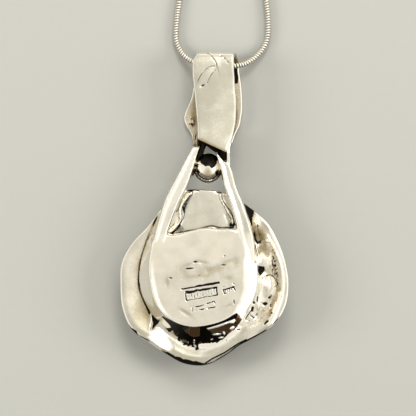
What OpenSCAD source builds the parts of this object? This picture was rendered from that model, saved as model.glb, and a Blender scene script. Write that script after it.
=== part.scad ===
/* [Silver sheet] */
// Thickness of the petal-shaped sheet that carries the stone
sheet_t = 1.0; // [0.8:0.1:1.2]
// Height of the sheet's back face above the table
sheet_z = 5.0; // [4.9:0.1:5.2]

/* [Back frame] */
// Thickness of the raised back plate
plate_t = 1.1; // [0.8:0.1:1.3]
// Height of the frame's ridge above the table
ridge_z = 8.0; // [7.6:0.1:8.4]
// How far the plate lies below the ridge
plate_dish = 0.3; // [0.1:0.1:0.5]
// Width of the bevel along the top of each arm
arm_bevel = 0.75; // [0.5:0.05:0.9]

/* [Bail] */
// Thickness of the strip that is folded into the bail
strip_t = 1.0; // [0.8:0.1:1.1]

/* [Ball] */
// Diameter of the solid ball between the arms
ball_d = 5.6; // [5.2:0.1:5.8]

/* [Stone] */
// Width of the oval cabochon
stone_w = 15; // [13:0.5:15]
// Length of the oval cabochon
stone_l = 20; // [17:0.5:20]
// Clearance between the stone and its setting
stone_gap = 0.1; // [0.1:0.05:0.2]
// Thickness of the bezel's wall
bezel_t = 0.7; // [0.5:0.1:0.9]
// Height of the bezel's wall below the sheet
bezel_h = 2.3; // [1.8:0.1:2.6]

/* [Chain] */
// Diameter of the snake chain
chain_d = 1.2; // [1:0.05:1.25]
// Outside diameter of the barrel clasp
clasp_d = 3.0; // [2.6:0.1:3.4]
// Length of the barrel clasp
clasp_l = 9.0; // [8:0.5:9]

/* [Hidden] */
$fn = 48;

// Points round the sheet and the dish, and steps between two rows of a table
around_n = 72;
row_steps = 2;
// Sides of the chain's tube and rings between two points of its route
tube_sides = 8;
route_steps = 2;
clearance = 0.12;

// The pendant's own origin is the middle of its sheet.
// The whole part's origin is the middle of its footprint on the table.
pendant_at = [0.1, -104.1, 0];

// Sheet, a row every 15 degrees from the pendant's right:
// outline radius, height of the trough, of the ridge and of the rim, share of the radius at the ridge
SHEET = [
    [15.9, 4.4, 6.2, 5.4, 0.94], [15.9, 4.3, 6.2, 5.5, 0.94], [16.2, 4.2, 6.1, 5.5, 0.93],
    [16.8, 4.2, 5.9, 5.3, 0.93], [17.0, 4.6, 5.3, 4.9, 0.92], [17.8, 5.0, 5.0, 4.9, 0.91],
    [18.1, 5.0, 5.0, 4.9, 0.90], [18.3, 5.0, 5.0, 4.9, 0.90], [16.7, 4.9, 5.0, 4.9, 0.92],
    [15.6, 4.7, 5.2, 4.9, 0.94], [16.0, 4.5, 5.3, 5.0, 0.94], [16.4, 4.4, 5.4, 5.1, 0.94],
    [16.1, 4.4, 5.4, 5.0, 0.94], [16.3, 4.4, 5.3, 4.8, 0.93], [16.3, 4.3, 5.2, 4.4, 0.92],
    [15.3, 4.4, 5.4, 4.0, 0.89], [15.0, 4.8, 5.7, 3.7, 0.87], [15.4, 4.9, 5.6, 3.5, 0.86],
    [15.2, 4.9, 5.5, 3.5, 0.86], [14.0, 4.9, 5.5, 3.7, 0.87], [13.2, 4.9, 5.6, 4.1, 0.88],
    [13.8, 4.8, 5.8, 4.4, 0.89], [15.1, 4.6, 6.0, 4.8, 0.90], [15.8, 4.5, 6.1, 5.2, 0.92]
];
S_RADIUS = 0;
S_TROUGH = 1;
S_RIDGE = 2;
S_RIM = 3;
S_RIDGE_AT = 4;
// Shares of the radius where the flat middle ends and where the trough lies
flat_to = 0.60;
trough_at = 0.77;

// Dish of the back frame, a row every 15 degrees:
// foot radius, width of the skirt, height of the foot over the sheet (its root stands in the sheet)
DISH = [
    [10.1, 2.3, -0.3], [10.6, 2.3, -0.3], [11.5, 2.2, -0.3], [12.5, 1.8, 0.4],
    [12.2, 0.5, 1.9], [11.1, 0.4, 1.9], [10.9, 0.4, 1.9], [10.7, 0.4, 1.9],
    [11.1, 0.5, 1.9], [12.8, 1.4, 0.6], [12.8, 1.6, -0.3], [12.4, 1.6, -0.3],
    [12.0, 1.6, -0.3], [11.6, 1.6, -0.3], [11.2, 1.7, -0.3], [11.1, 2.3, -0.3],
    [11.4, 3.2, -0.3], [11.7, 3.9, -0.3], [11.8, 4.1, -0.3], [11.1, 3.8, -0.3],
    [10.6, 3.2, -0.3], [10.1, 2.6, -0.3], [9.6, 2.4, -0.3], [9.7, 2.3, -0.3]
];
D_RADIUS = 0;
D_SKIRT = 1;
D_LIFT = 2;

// Arms, from the bail's leaf down: y, outer x, inner x, top height, bottom height
LEFT_ARM = [
    [28.8, -2.3, -0.8, 3.0, 0.6], [26.7, -2.4, -0.9, 3.4, 0.6], [26.2, -2.4, -0.9, 6.5, 0.8],
    [24.6, -3.3, -1.4, 6.7, 1.6], [23.2, -4.1, -1.8, 6.9, 2.6], [20.3, -5.6, -2.7, 7.3, 3.8],
    [18.1, -6.8, -3.6, 7.5, 4.3], [15.9, -7.9, -4.7, 7.7, 4.4], [13.0, -9.1, -6.0, 7.9, 4.4],
    [10.1, -10.2, -7.2, 8.0, 4.3], [6.7, -11.1, -8.4, 7.9, 4.0], [3.4, -11.7, -9.6, 7.3, 4.0],
    [0.9, -11.6, -10.4, 6.2, 4.1]
];
RIGHT_ARM = [
    [25.1, 2.9, 2.1, 6.9, 4.0], [24.1, 3.8, 2.4, 7.0, 3.6], [23.0, 4.8, 2.7, 7.1, 3.4],
    [21.2, 5.4, 3.05, 7.2, 3.6], [19.2, 5.9, 3.4, 7.3, 4.1], [17.5, 6.4, 4.0, 7.5, 4.3],
    [15.9, 7.1, 4.5, 7.7, 4.4], [12.9, 8.4, 5.4, 7.9, 4.2], [10.4, 9.2, 6.1, 8.0, 4.0],
    [6.7, 9.9, 7.2, 7.9, 4.1], [3.4, 10.0, 8.2, 7.3, 4.1], [0.9, 9.9, 8.8, 6.2, 4.1]
];
// Outer wall of the neck, from the bail's strip to the right arm, in the same columns
RIGHT_POST = [
    [28.6, 5.2, 4.0, 6.2, 0.6], [27.0, 5.0, 3.8, 6.5, 0.6], [25.5, 4.7, 3.65, 6.9, 0.8],
    [23.6, 4.7, 3.7, 7.0, 2.0], [22.4, 4.85, 3.7, 6.9, 3.4]
];
A_Y = 0;
A_OUT = 1;
A_IN = 2;
A_TOP = 3;
A_BOTTOM = 4;
// Depth of the shallow groove between an arm's two ridges
arm_groove = 0.18;

// Bail, from the leaf's lower end, over the fold, to the strip's slanting end:
// y, height of the middle, left x, right x, slant of the row, curl of the edges
BAIL = [
    [26.9, 0.70, -2.4, 5.2, 0.0, 0.2], [28.6, 0.58, -2.6, 5.8, 0.0, 0.3],
    [30.3, 0.52, -3.6, 6.6, 0.0, 0.5], [31.8, 0.52, -4.0, 6.9, 0.0, 0.6], [33.3, 0.52, -3.6, 7.1, 0.0, 0.6],
    [35.4, 0.52, -2.7, 7.1, 0.0, 0.5], [38.0, 0.52, -2.2, 6.9, 0.0, 0.4], [40.2, 0.53, -2.1, 6.6, 0.0, 0.3],
    [41.9, 0.70, -2.0, 6.4, 0.0, 0.1],
    [43.1, 1.45, -2.0, 6.1, 0.0, 0.0], [43.7, 2.55, -2.0, 5.8, 0.0, 0.0], [43.8, 3.70, -2.0, 5.6, 0.0, 0.0],
    [43.3, 4.80, -2.1, 5.5, 0.0, 0.0], [42.2, 5.60, -2.3, 5.5, 0.0, 0.0], [40.7, 5.95, -2.4, 5.5, 0.0, 0.0],
    [39.2, 6.00, -2.3, 5.6, 0.0, 0.1], [37.5, 6.00, -2.1, 5.7, 0.0, 0.1], [35.4, 6.05, -1.9, 5.9, 0.0, 0.1],
    [33.2, 6.10, -1.7, 5.9, 0.0, 0.1], [31.0, 6.20, -1.5, 5.8, -0.3, 0.1], [29.0, 6.35, -1.4, 5.3, -1.0, 0.1],
    [27.6, 6.45, -1.4, 4.7, -1.9, 0.1], [26.4, 6.50, -1.4, 4.2, -2.6, 0.1]
];
B_Y = 0;
B_Z = 1;
B_LEFT = 2;
B_RIGHT = 3;
B_SLANT = 4;
B_CURL = 5;

// Molten lumps along the right side of the sheet: the two ends of each and their radii.
// Each is flattened and rests in the trough.
LUMPS = [
    [[9.8, 12.0, 4.6, 0.8], [10.2, 11.0, 4.6, 0.8]], [[10.6, 7.9, 4.5, 0.8], [11.9, 7.6, 4.5, 0.7]],
    [[11.3, 5.9, 4.6, 1.2], [11.7, 3.9, 4.6, 1.2]], [[11.1, 1.1, 4.6, 0.9], [11.9, 0.5, 4.7, 1.3]],
    [[11.9, -0.6, 4.7, 1.4], [11.0, -2.0, 4.7, 1.2]], [[10.4, -4.0, 4.7, 0.9], [11.2, -4.6, 4.7, 0.8]],
    [[9.3, -6.2, 4.8, 0.8], [8.9, -7.2, 4.8, 0.8]], [[10.6, -7.4, 4.8, 0.8], [11.6, -6.4, 4.8, 0.7]]
];
lump_flat = 0.65;

ball_at = [0.55, 22.2, 4.0];
stone_at = [0, 1.2];

// Cabochon, from its flat base to the top of its dome: share of its height, share of its width
DOME = [
    [1.00, 0.97], [0.94, 1.00], [0.72, 1.00], [0.52, 0.96], [0.34, 0.87], [0.19, 0.73], [0.08, 0.52], [0.02, 0.27],
    [0, 0.06]
];

// Route of the chain's middle line on the table, chosen by hand:
// from the clasp's left end down the left side, through the bail, and up the right side to the clasp
ROUTE = [
    [-0.4, 222.0, 1.5], [-1.7, 222.0, 1.5], [-4.2, 221.4, 1.1], [-6.9, 218.8, 0.7], [-8.4, 214.4, 0.6],
    [-8.7, 208.0, 0.6], [-8.2, 188.0, 0.6], [-7.3, 164.0, 0.6], [-6.4, 140.0, 0.6], [-5.5, 116.0, 0.6],
    [-4.8, 92.0, 0.6], [-4.5, 72.0, 0.6], [-4.7, 57.0, 0.6], [-5.4, 50.6, 0.6], [-5.5, 46.8, 0.7],
    [-4.6, 44.5, 1.1], [-3.3, 43.1, 1.8], [-1.6, 42.2, 2.4], [0.4, 41.8, 2.5], [2.4, 41.7, 2.5],
    [4.4, 41.7, 2.4], [6.2, 41.8, 2.2], [7.8, 42.2, 1.7], [9.5, 43.3, 1.1], [11.1, 45.1, 0.7],
    [11.9, 47.3, 0.6], [12.0, 51.0, 0.6], [11.5, 57.0, 0.6], [11.3, 72.0, 0.6], [11.5, 92.0, 0.6],
    [12.1, 116.0, 0.6], [12.9, 140.0, 0.6], [13.9, 164.0, 0.6], [14.8, 188.0, 0.6], [15.2, 208.0, 0.6],
    [14.8, 214.4, 0.6], [13.1, 218.8, 0.7], [10.4, 221.4, 1.1], [7.9, 222.0, 1.5], [6.6, 222.0, 1.5]
];
clasp_mid = [3.1, 222.0, 1.5];
socket_depth = 1.2;
collar_d = 2.1;

// Value at t between the middle two of four values
function cubic(a, b, c, d, t) =
    b + 0.5 * t * (c - a + t * (2 * a - 5 * b + 4 * c - d + t * (3 * (b - c) + d - a)));
// Column of a table that closes on itself, at an angle
function around(table, column, angle) =
    let (n = len(table), s = angle / 360 * n, i = floor(s))
    cubic(table[(i + n - 1) % n][column], table[i % n][column], table[(i + 1) % n][column],
          table[(i + 2) % n][column], s - i);
// Whole row of an open table, at a place counted in rows
function row_at(table, s) =
    let (last = len(table) - 1, i = min(floor(s), last - 1))
    cubic(table[max(i - 1, 0)], table[i], table[i + 1], table[min(i + 2, last)], s - i);
function places(table, steps) = [for (i = [0 : (len(table) - 1) * steps]) i / steps];
function ease(t) = t * t * (3 - 2 * t);
// Height on a profile of [place, height] knots, level at each knot
function on_profile(knots, x, i = 0) =
    i >= len(knots) - 2 || x <= knots[i + 1][0]
    ? let (t = (x - knots[i][0]) / (knots[i + 1][0] - knots[i][0]))
      knots[i][1] + (knots[i + 1][1] - knots[i][1]) * ease(min(max(t, 0), 1))
    : on_profile(knots, x, i + 1);
function unit(v) = v / norm(v);
function mean(points) = [for (k = [0 : 2]) [for (p = points) p[k]] * [for (p = points) 1] / len(points)];

// Closed solid through rings of equal length, turning left about the way they run
module loft(rings) {
    n = len(rings[0]);
    m = len(rings);
    points = concat([for (r = rings) each r], [mean(rings[0]), mean(rings[m - 1])]);
    sides = [for (i = [0 : m - 2], j = [0 : n - 1])
        let (k = (j + 1) % n)
        each [[i * n + j, (i + 1) * n + j, (i + 1) * n + k], [i * n + j, (i + 1) * n + k, i * n + k]]];
    start = [for (j = [0 : n - 1]) [m * n, j, (j + 1) % n]];
    end = [for (j = [0 : n - 1]) [m * n + 1, (m - 1) * n + (j + 1) % n, (m - 1) * n + j]];
    polyhedron(points, concat(start, sides, end), convexity = 8);
}

// Height of the sheet's back face at a share of the radius
function sheet_height(angle, share) =
    on_profile([
        [0, sheet_z], [flat_to, sheet_z], [trough_at, around(SHEET, S_TROUGH, angle)],
        [around(SHEET, S_RIDGE_AT, angle), around(SHEET, S_RIDGE, angle)], [1, around(SHEET, S_RIM, angle)]
    ], share);
function sheet_ring(share, drop) =
    [for (k = [0 : around_n - 1])
        let (a = k * 360 / around_n, r = around(SHEET, S_RADIUS, a) * share)
        [r * cos(a), r * sin(a), sheet_height(a, share) - drop]];

module front_sheet() {
    shares = [0.3, 0.6, 0.69, 0.77, 0.84, 0.9, 0.95];
    rim_in = 0.985;
    loft(concat(
        [for (s = shares) sheet_ring(s, sheet_t)],
        [sheet_ring(rim_in, sheet_t * 0.9), sheet_ring(1, sheet_t * 0.6), sheet_ring(1, sheet_t * 0.25)],
        [sheet_ring(rim_in, 0)],
        [for (i = [len(shares) - 1 : -1 : 0]) sheet_ring(shares[i], 0)]
    ));
}

function dish_foot(angle) =
    sheet_height(angle, around(DISH, D_RADIUS, angle) / around(SHEET, S_RADIUS, angle))
    + around(DISH, D_LIFT, angle);
// Ring of the dish: how far in from the foot, as a share of the skirt, then towards the middle.
// Its points lie half a step round from the sheet's, so that no two edges meet end to end.
function dish_ring(skirt_share, inward, height) =
    [for (k = [0 : around_n - 1])
        let (a = (k + 0.5) * 360 / around_n,
             r = around(DISH, D_RADIUS, a) - skirt_share * around(DISH, D_SKIRT, a) - inward,
             foot = dish_foot(a))
        [r * cos(a), r * sin(a), foot + (height - foot) * ease(min(skirt_share, 1))]];

module dish() {
    plate_z = ridge_z - plate_dish;
    under_z = plate_z - plate_t;
    wall = plate_t * 0.8;
    middle = 4.2;
    loft([
        dish_ring(1, wall + middle, under_z), dish_ring(1, wall + 0.9, under_z),
        dish_ring(0.5, wall, under_z), dish_ring(0, wall, under_z),
        dish_ring(0, 0, ridge_z), dish_ring(0.35, 0, ridge_z), dish_ring(0.7, 0, ridge_z),
        dish_ring(1, 0, ridge_z), dish_ring(1, 0.8, plate_z + plate_dish * 0.3),
        dish_ring(1, 1.7, plate_z), dish_ring(1, middle, plate_z)
    ]);
}

// Section of an arm: two ridges with a shallow groove between them
function arm_section(row) =
    let (lo = min(row[A_OUT], row[A_IN]), hi = max(row[A_OUT], row[A_IN]), mid = (lo + hi) / 2,
         y = row[A_Y], top = row[A_TOP], bottom = row[A_BOTTOM], edge = min(arm_bevel, (hi - lo) * 0.35))
    [[hi, y, bottom], [hi, y, top - edge * 1.4], [hi - edge * 0.35, y, top - edge * 0.5],
     [hi - edge, y, top], [mid, y, top - arm_groove], [lo + edge, y, top],
     [lo + edge * 0.35, y, top - edge * 0.5], [lo, y, top - edge * 1.4], [lo, y, bottom]];

module arm(table) {
    loft([for (s = places(table, row_steps)) arm_section(row_at(table, s))]);
}

module lump(ends) {
    hull() {
        for (e = ends) translate([e[0], e[1], e[2]]) scale([1, 1, lump_flat]) sphere(e[3], $fn = 12);
    }
}

// Section of the bail: across its width, on the outside of the fold and back on the inside
function bail_section(s) =
    let (row = row_at(BAIL, s), step = 0.25, last = len(BAIL) - 1,
         before = row_at(BAIL, max(s - step, 0)), after = row_at(BAIL, min(s + step, last)),
         way = unit([after[B_Y] - before[B_Y], after[B_Z] - before[B_Z]]), out = [way.y, -way.x],
         wide = row[B_RIGHT] - row[B_LEFT], mid = (row[B_RIGHT] + row[B_LEFT]) / 2,
         across = [[0.5, 0.1], [0.47, 0.5], [0.3, 0.5], [0, 0.5], [-0.3, 0.5], [-0.47, 0.5], [-0.5, 0.1],
                   [-0.47, -0.4], [-0.3, -0.5], [0, -0.5], [0.3, -0.5], [0.47, -0.4]])
    [for (p = across)
        let (off = p.y * strip_t - row[B_CURL] * pow(2 * abs(p.x), 2))
        [mid + p.x * wide, row[B_Y] + out.x * off + row[B_SLANT] * p.x, row[B_Z] + out.y * off]];

module bail() {
    loft([for (s = places(BAIL, row_steps)) bail_section(s)]);
}

// Ring of the stone's oval, grown or shrunk by a margin
function oval_ring(share, margin, z) =
    [for (k = [0 : around_n / 2 - 1])
        let (a = k * 720 / around_n)
        [stone_at.x + (stone_w / 2 * share + margin) * cos(a),
         stone_at.y + (stone_l / 2 * share + margin) * sin(a), z]];

// Height of the setting's floor, which is the sheet's front face
floor_z = sheet_z - sheet_t;

module bezel() {
    difference() {
        loft([
            oval_ring(1, stone_gap + bezel_t * 0.6, floor_z - bezel_h),
            oval_ring(1, stone_gap + bezel_t, floor_z - bezel_h + 0.4),
            oval_ring(1, stone_gap + bezel_t, floor_z + sheet_t / 2)
        ]);
        loft([
            oval_ring(1, stone_gap, floor_z - bezel_h - 1),
            oval_ring(1, stone_gap, floor_z)
        ]);
    }
}

module silver_body() {
    translate(pendant_at)
        color([0.86, 0.84, 0.78]) {
            front_sheet();
            dish();
            arm(LEFT_ARM);
            arm(RIGHT_ARM);
            arm(RIGHT_POST);
            bail();
            for (l = LUMPS) lump(l);
            translate(ball_at) sphere(d = ball_d, $fn = 28);
            bezel();
        }
}

module turquoise_cabochon() {
    base_z = floor_z - stone_gap;
    translate(pendant_at)
        color([0.22, 0.66, 0.66])
            loft([for (i = [len(DOME) - 1 : -1 : 0]) oval_ring(DOME[i][1], 0, base_z * DOME[i][0])]);
}

// Ring of the chain's tube about its route
function tube_ring(s) =
    let (step = 0.05, last = len(ROUTE) - 1, p = row_at(ROUTE, s),
         way = unit(row_at(ROUTE, min(s + step, last)) - row_at(ROUTE, max(s - step, 0))),
         side = unit(cross(way, [0, 0, 1])), up = cross(way, side))
    [for (k = [0 : tube_sides - 1])
        let (a = k * 360 / tube_sides)
        p + chain_d / 2 * (cos(a) * side + sin(a) * up)];

module snake_chain() {
    translate(pendant_at)
        color([0.88, 0.87, 0.82])
            loft([for (s = places(ROUTE, route_steps)) tube_ring(s)]);
}

// Half of the clasp's outline, along its axis: place, radius
module clasp_half() {
    half = clasp_l / 2;
    collar = 1.6;
    round_r = clasp_d / 2 * 0.4;
    polygon([
        [0, 0], [clasp_d / 2, 0], [clasp_d / 2, half - collar - round_r],
        [clasp_d / 2 - round_r, half - collar], [collar_d / 2, half - collar], [collar_d / 2, half - 0.2],
        [collar_d / 2 - 0.2, half], [0, half]
    ]);
}

module barrel_clasp() {
    translate(pendant_at + clasp_mid)
        color([0.84, 0.83, 0.78])
            for (side = [-1, 1])
                rotate([0, side * 90, 0])
                    difference() {
                        rotate_extrude() clasp_half();
                        translate([0, 0, clasp_l / 2 - socket_depth])
                            cylinder(d = chain_d + 2 * clearance, h = socket_depth + 1);
                    }
}

silver_body();
turquoise_cabochon();
snake_chain();
barrel_clasp();
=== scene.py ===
"""Silver and turquoise pendant, lying face down on its snake chain."""

import math

import bmesh
import bpy
import numpy as np
from mathutils import Matrix, Vector


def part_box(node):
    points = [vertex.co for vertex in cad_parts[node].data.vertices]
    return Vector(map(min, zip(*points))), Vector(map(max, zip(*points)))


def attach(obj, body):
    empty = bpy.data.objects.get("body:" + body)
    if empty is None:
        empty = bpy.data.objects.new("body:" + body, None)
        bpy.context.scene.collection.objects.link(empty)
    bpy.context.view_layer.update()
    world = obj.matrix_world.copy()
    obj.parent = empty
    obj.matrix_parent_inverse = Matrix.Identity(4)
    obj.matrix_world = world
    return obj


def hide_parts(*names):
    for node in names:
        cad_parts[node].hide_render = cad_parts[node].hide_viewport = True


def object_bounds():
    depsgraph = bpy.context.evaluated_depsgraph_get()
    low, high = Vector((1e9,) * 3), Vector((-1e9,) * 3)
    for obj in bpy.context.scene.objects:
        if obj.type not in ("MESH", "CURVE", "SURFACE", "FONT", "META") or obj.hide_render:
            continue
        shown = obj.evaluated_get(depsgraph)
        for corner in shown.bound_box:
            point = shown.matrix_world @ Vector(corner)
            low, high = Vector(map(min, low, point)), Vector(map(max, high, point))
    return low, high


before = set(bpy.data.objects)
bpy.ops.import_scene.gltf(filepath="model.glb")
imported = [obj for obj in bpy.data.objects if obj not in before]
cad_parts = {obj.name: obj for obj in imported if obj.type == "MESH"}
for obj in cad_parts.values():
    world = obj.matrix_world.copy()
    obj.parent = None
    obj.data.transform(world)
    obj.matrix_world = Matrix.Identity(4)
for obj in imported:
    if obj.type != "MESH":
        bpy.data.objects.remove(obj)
cad_low, cad_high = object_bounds()

# Lengths are millimetres in the pendant's own frame, whose origin is the middle of its sheet.
MM = 0.001
STONE_CENTRE = Vector((0.0, 1.2, 0.0))


def pendant_origin():
    """Where the pendant's own origin lies in the frame, in metres, from the stone's place."""
    low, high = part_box("turquoise_cabochon")
    middle = (low + high) / 2
    return Vector((middle.x, middle.y, 0.0)) - STONE_CENTRE * MM


ORIGIN = pendant_origin()


def to_frame(point):
    """A point of the pendant's own frame, in millimetres, as a point of the shared frame, in metres."""
    return ORIGIN + Vector(point) * MM


# Camera, straight above, framing what the photograph frames
VIEW_CENTRE = (0.57, 14.63, 4.0)
VIEW_WIDTH = 79.04
CAMERA_HEIGHT = 900.0
SENSOR = 36.0


def make_camera():
    data = bpy.data.cameras.new("camera")
    data.sensor_width = SENSOR
    data.lens = SENSOR * CAMERA_HEIGHT / VIEW_WIDTH
    data.clip_start = 0.05
    data.clip_end = 20.0
    camera = bpy.data.objects.new("camera", data)
    camera.location = to_frame(VIEW_CENTRE) + Vector((0, 0, CAMERA_HEIGHT * MM))
    bpy.context.scene.collection.objects.link(camera)
    bpy.context.scene.camera = camera


make_camera()


# Curves through short tables

def cubic(a, b, c, d, t):
    """Value at t between the middle two of four values."""
    return b + 0.5 * t * (c - a + t * (2 * a - 5 * b + 4 * c - d + t * (3 * (b - c) + d - a)))


def around(table, column, degrees):
    """Column of a table that closes on itself, at angles."""
    values = np.array(table, float)[:, column]
    place = np.asarray(degrees) / 360 * len(values)
    i = np.floor(place).astype(int)
    a, b, c, d = (values[(i + k) % len(values)] for k in (-1, 0, 1, 2))
    return cubic(a, b, c, d, place - i)


def rows_at(table, place):
    """Whole rows of an open table, at places counted in rows."""
    rows = np.array(table, float)
    last = len(rows) - 1
    i = np.clip(np.floor(place).astype(int), 0, last - 1)
    a, b, c, d = (rows[np.clip(i + k, 0, last)] for k in (-1, 0, 1, 2))
    return cubic(a, b, c, d, (place - i)[..., None])


def ease(t):
    t = np.clip(t, 0, 1)
    return t * t * (3 - 2 * t)


def above(value, start, soft):
    """0 up to a start, rising to 1 over a soft step beyond it."""
    return ease((value - start) / soft)


def below(value, start, soft):
    """0 down to a start, rising to 1 over a soft step under it."""
    return ease((start - value) / soft)


def bell(away, width):
    """1 in the middle of a mark, fading on both sides."""
    return np.exp(-((away / width) ** 2))


def blend(a, b, t):
    return a + (b - a) * t


def on_profile(x, knots):
    """Height at x on a profile of (place, height) knots, level at each knot."""
    height = knots[0][1] + 0 * x
    for (x0, z0), (x1, z1) in zip(knots, knots[1:]):
        height = np.where(x > x0, blend(z0, z1, ease((x - x0) / (x1 - x0))), height)
    return height


# Marks on a surface, as functions of x and y

def own_axes(x, y, at, size, turn):
    """Squared distance from a mark's middle, 1 at the ends of its half sizes."""
    c, s = math.cos(math.radians(turn)), math.sin(math.radians(turn))
    dx, dy = x - at[0], y - at[1]
    return ((dx * c + dy * s) / size[0]) ** 2 + ((dy * c - dx * s) / size[1]) ** 2


def mound(x, y, at, size, turn=0.0):
    """Rounded bump, 1 at its middle, fading outwards."""
    return np.exp(-own_axes(x, y, at, size, turn))


def cushion(x, y, at, size, turn=0.0):
    """Rounded bump, 1 at its middle, that ends softly at its half sizes."""
    return np.clip(1 - own_axes(x, y, at, size, turn), 0, None) ** 2


def smooth_line(points, steps=6):
    places = np.linspace(0, len(points) - 1, (len(points) - 1) * steps + 1)
    return rows_at(points, places)


def from_line(x, y, points):
    """Distance from a line, signed: positive to the left of the way it runs."""
    line = smooth_line(points)
    near = np.full(np.shape(x), 1e9)
    signed = np.zeros(np.shape(x))
    for (ax, ay), (bx, by) in zip(line[:, :2], line[1:, :2]):
        ex, ey = bx - ax, by - ay
        t = np.clip(((x - ax) * ex + (y - ay) * ey) / (ex * ex + ey * ey + 1e-12), 0, 1)
        dx, dy = x - ax - t * ex, y - ay - t * ey
        d = np.hypot(dx, dy)
        closer = d < near
        near = np.where(closer, d, near)
        signed = np.where(closer, np.sign(ex * dy - ey * dx) * d, signed)
    return signed


def stroke(x, y, points, width):
    """Soft line, 1 along its middle."""
    return bell(from_line(x, y, points), width)


def depth_inside(x, y, corners):
    """Distance inside a closed outline, negative outside it."""
    near = np.full(np.shape(x), 1e9)
    within = np.zeros(np.shape(x), bool)
    for (ax, ay), (bx, by) in zip(corners, corners[1:] + corners[:1]):
        ex, ey = bx - ax, by - ay
        t = np.clip(((x - ax) * ex + (y - ay) * ey) / (ex * ex + ey * ey), 0, 1)
        near = np.minimum(near, np.hypot(x - ax - t * ex, y - ay - t * ey))
        within ^= ((ay > y) != (by > y)) & (x < ax + (y - ay) * ex / (ey or 1.0))
    return np.where(within, near, -near)


def patch(x, y, corners, soft, ragged=0.0):
    """1 inside an outline, 0 outside, with a soft edge."""
    return ease(0.5 + (depth_inside(x, y, corners) + ragged) / soft)


def spots(x, y, table):
    """Sum of rounded marks: middle, half sizes, turn, strength."""
    return sum(strength * mound(x, y, at, size, turn) for at, size, turn, strength in table)


def lines(x, y, table):
    """Sum of lines: points, width, strength."""
    return sum(strength * stroke(x, y, points, width) for points, width, strength in table)


def patches(x, y, table):
    """Sum of patches: corners, softness of the edge, strength."""
    return sum(strength * patch(x, y, corners, soft) for corners, soft, strength in table)


LATTICE = 32
# How far each octave is shifted against the one before
OCTAVE_SHIFT = 7.3


def lattice(seed):
    return np.random.default_rng(seed).random((LATTICE, LATTICE, LATTICE))


# Fields of clouds: size of a feature, seed, octaves
FIELDS = {
    "sheet waves": (5.0, 1, 2),
    "grain bumps": (0.30, 3, 2),
    "melted bumps": (1.1, 4, 2),
    "grain gaps": (0.30, 5, 2),
    "melted black": (0.7, 6, 2),
    "plate dents": (3.4, 11, 3),
    "plate satin": (2.0, 12, 3),
    "mottled reflection satin": (1.6, 13, 3),
    "worn bumps": (1.5, 14, 2),
    "bail dents": (3.5, 21, 3),
    "ball dents": (1.4, 31, 3),
    "cap edge": (0.7, 32, 2),
    "ball black": (0.6, 33, 2),
    "ridge waves": (0.9, 41, 2),
    "bezel dents": (1.6, 45, 2),
    "lump bend x": (2.0, 51, 2),
    "lump bend y": (2.0, 52, 2),
    "rim edge": (0.8, 61, 2),
    "sheet tan": (0.8, 71, 3),
    "faint strokes": (0.5, 81, 2),
    "stroke bend x": (0.5, 82, 2),
    "stroke bend y": (0.5, 83, 2),
    "stroke depth": (0.45, 84, 2),
    "slope teeth": (0.40, 91, 2),
    "slope edge": (0.8, 92, 2),
    "slope blotches": (0.9, 93, 3),
    "web gold": (0.8, 95, 2),
    "strip lines": (0.7, 97, 2),
}


def clouds(points, field):
    """Smooth noise from -1 to 1 in one of the fields."""
    size, seed, octaves = FIELDS[field]
    table = lattice(seed)
    total = np.zeros(len(points))
    share = 0.0
    for octave in range(octaves):
        q = points / (size / 2 ** octave) + OCTAVE_SHIFT * octave
        i = np.floor(q).astype(int)
        f = ease(q - i)
        value = np.zeros(len(points))
        for corner in np.ndindex(2, 2, 2):
            weight = np.prod(np.where(corner, f, 1 - f), axis=1)
            k = (i + corner) % LATTICE
            value += weight * table[k[:, 0], k[:, 1], k[:, 2]]
        total += (2 * value - 1) / 2 ** octave
        share += 1 / 2 ** octave
    return total / share


def clouds_at(x, y, field):
    return clouds(np.stack([x, y, 0 * x], axis=1), field)


# Shader helpers

def nodes_of(tree):
    """A function that adds a node with its settings and inputs to one tree."""

    def add(kind, inputs=None, **settings):
        node = tree.nodes.new(kind)
        for name, value in settings.items():
            setattr(node, name, value)
        for name, value in (inputs or {}).items():
            socket = node.inputs[name]
            if isinstance(value, bpy.types.NodeSocket):
                tree.links.new(value, socket)
            else:
                socket.default_value = value
        return node

    return add


def new_material(name):
    material = bpy.data.materials.new(name)
    material.use_nodes = True
    material.node_tree.nodes.clear()
    return material, nodes_of(material.node_tree)


def new_group(name, inputs, outputs):
    """A shader group with named sockets, the function that adds to it, and its input values."""
    tree = bpy.data.node_groups.new(name, "ShaderNodeTree")
    for socket, kind in inputs:
        tree.interface.new_socket(socket, in_out="INPUT", socket_type=kind)
    for socket, kind in outputs:
        tree.interface.new_socket(socket, in_out="OUTPUT", socket_type=kind)
    add = nodes_of(tree)
    return tree, add, add("NodeGroupInput").outputs


def math_node(add, operation, *values, clamp=False):
    return add("ShaderNodeMath", dict(enumerate(values)), operation=operation, use_clamp=clamp).outputs[0]


def attribute(add, name):
    return add("ShaderNodeAttribute", attribute_name=name).outputs["Fac"]


def noise(add, place, per_mm, detail=3.0, roughness=0.5):
    """Noise on Object coordinates, with so many features to a millimetre."""
    inputs = {"Vector": place, "Scale": per_mm / MM, "Detail": detail, "Roughness": roughness}
    return add("ShaderNodeTexNoise", inputs).outputs["Fac"]


def fit_range(add, value, low, high, to_low=0.0, to_high=1.0):
    """The value, stretched from one range to another and held inside it."""
    inputs = {"Value": value, "From Min": low, "From Max": high, "To Min": to_low, "To Max": to_high}
    return add("ShaderNodeMapRange", inputs).outputs["Result"]


def mix_colour(add, factor, first, second):
    return add("ShaderNodeMix", {0: factor, 6: first, 7: second}, data_type="RGBA").outputs[2]


def object_place(add):
    return add("ShaderNodeTexCoord").outputs["Object"]


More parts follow.
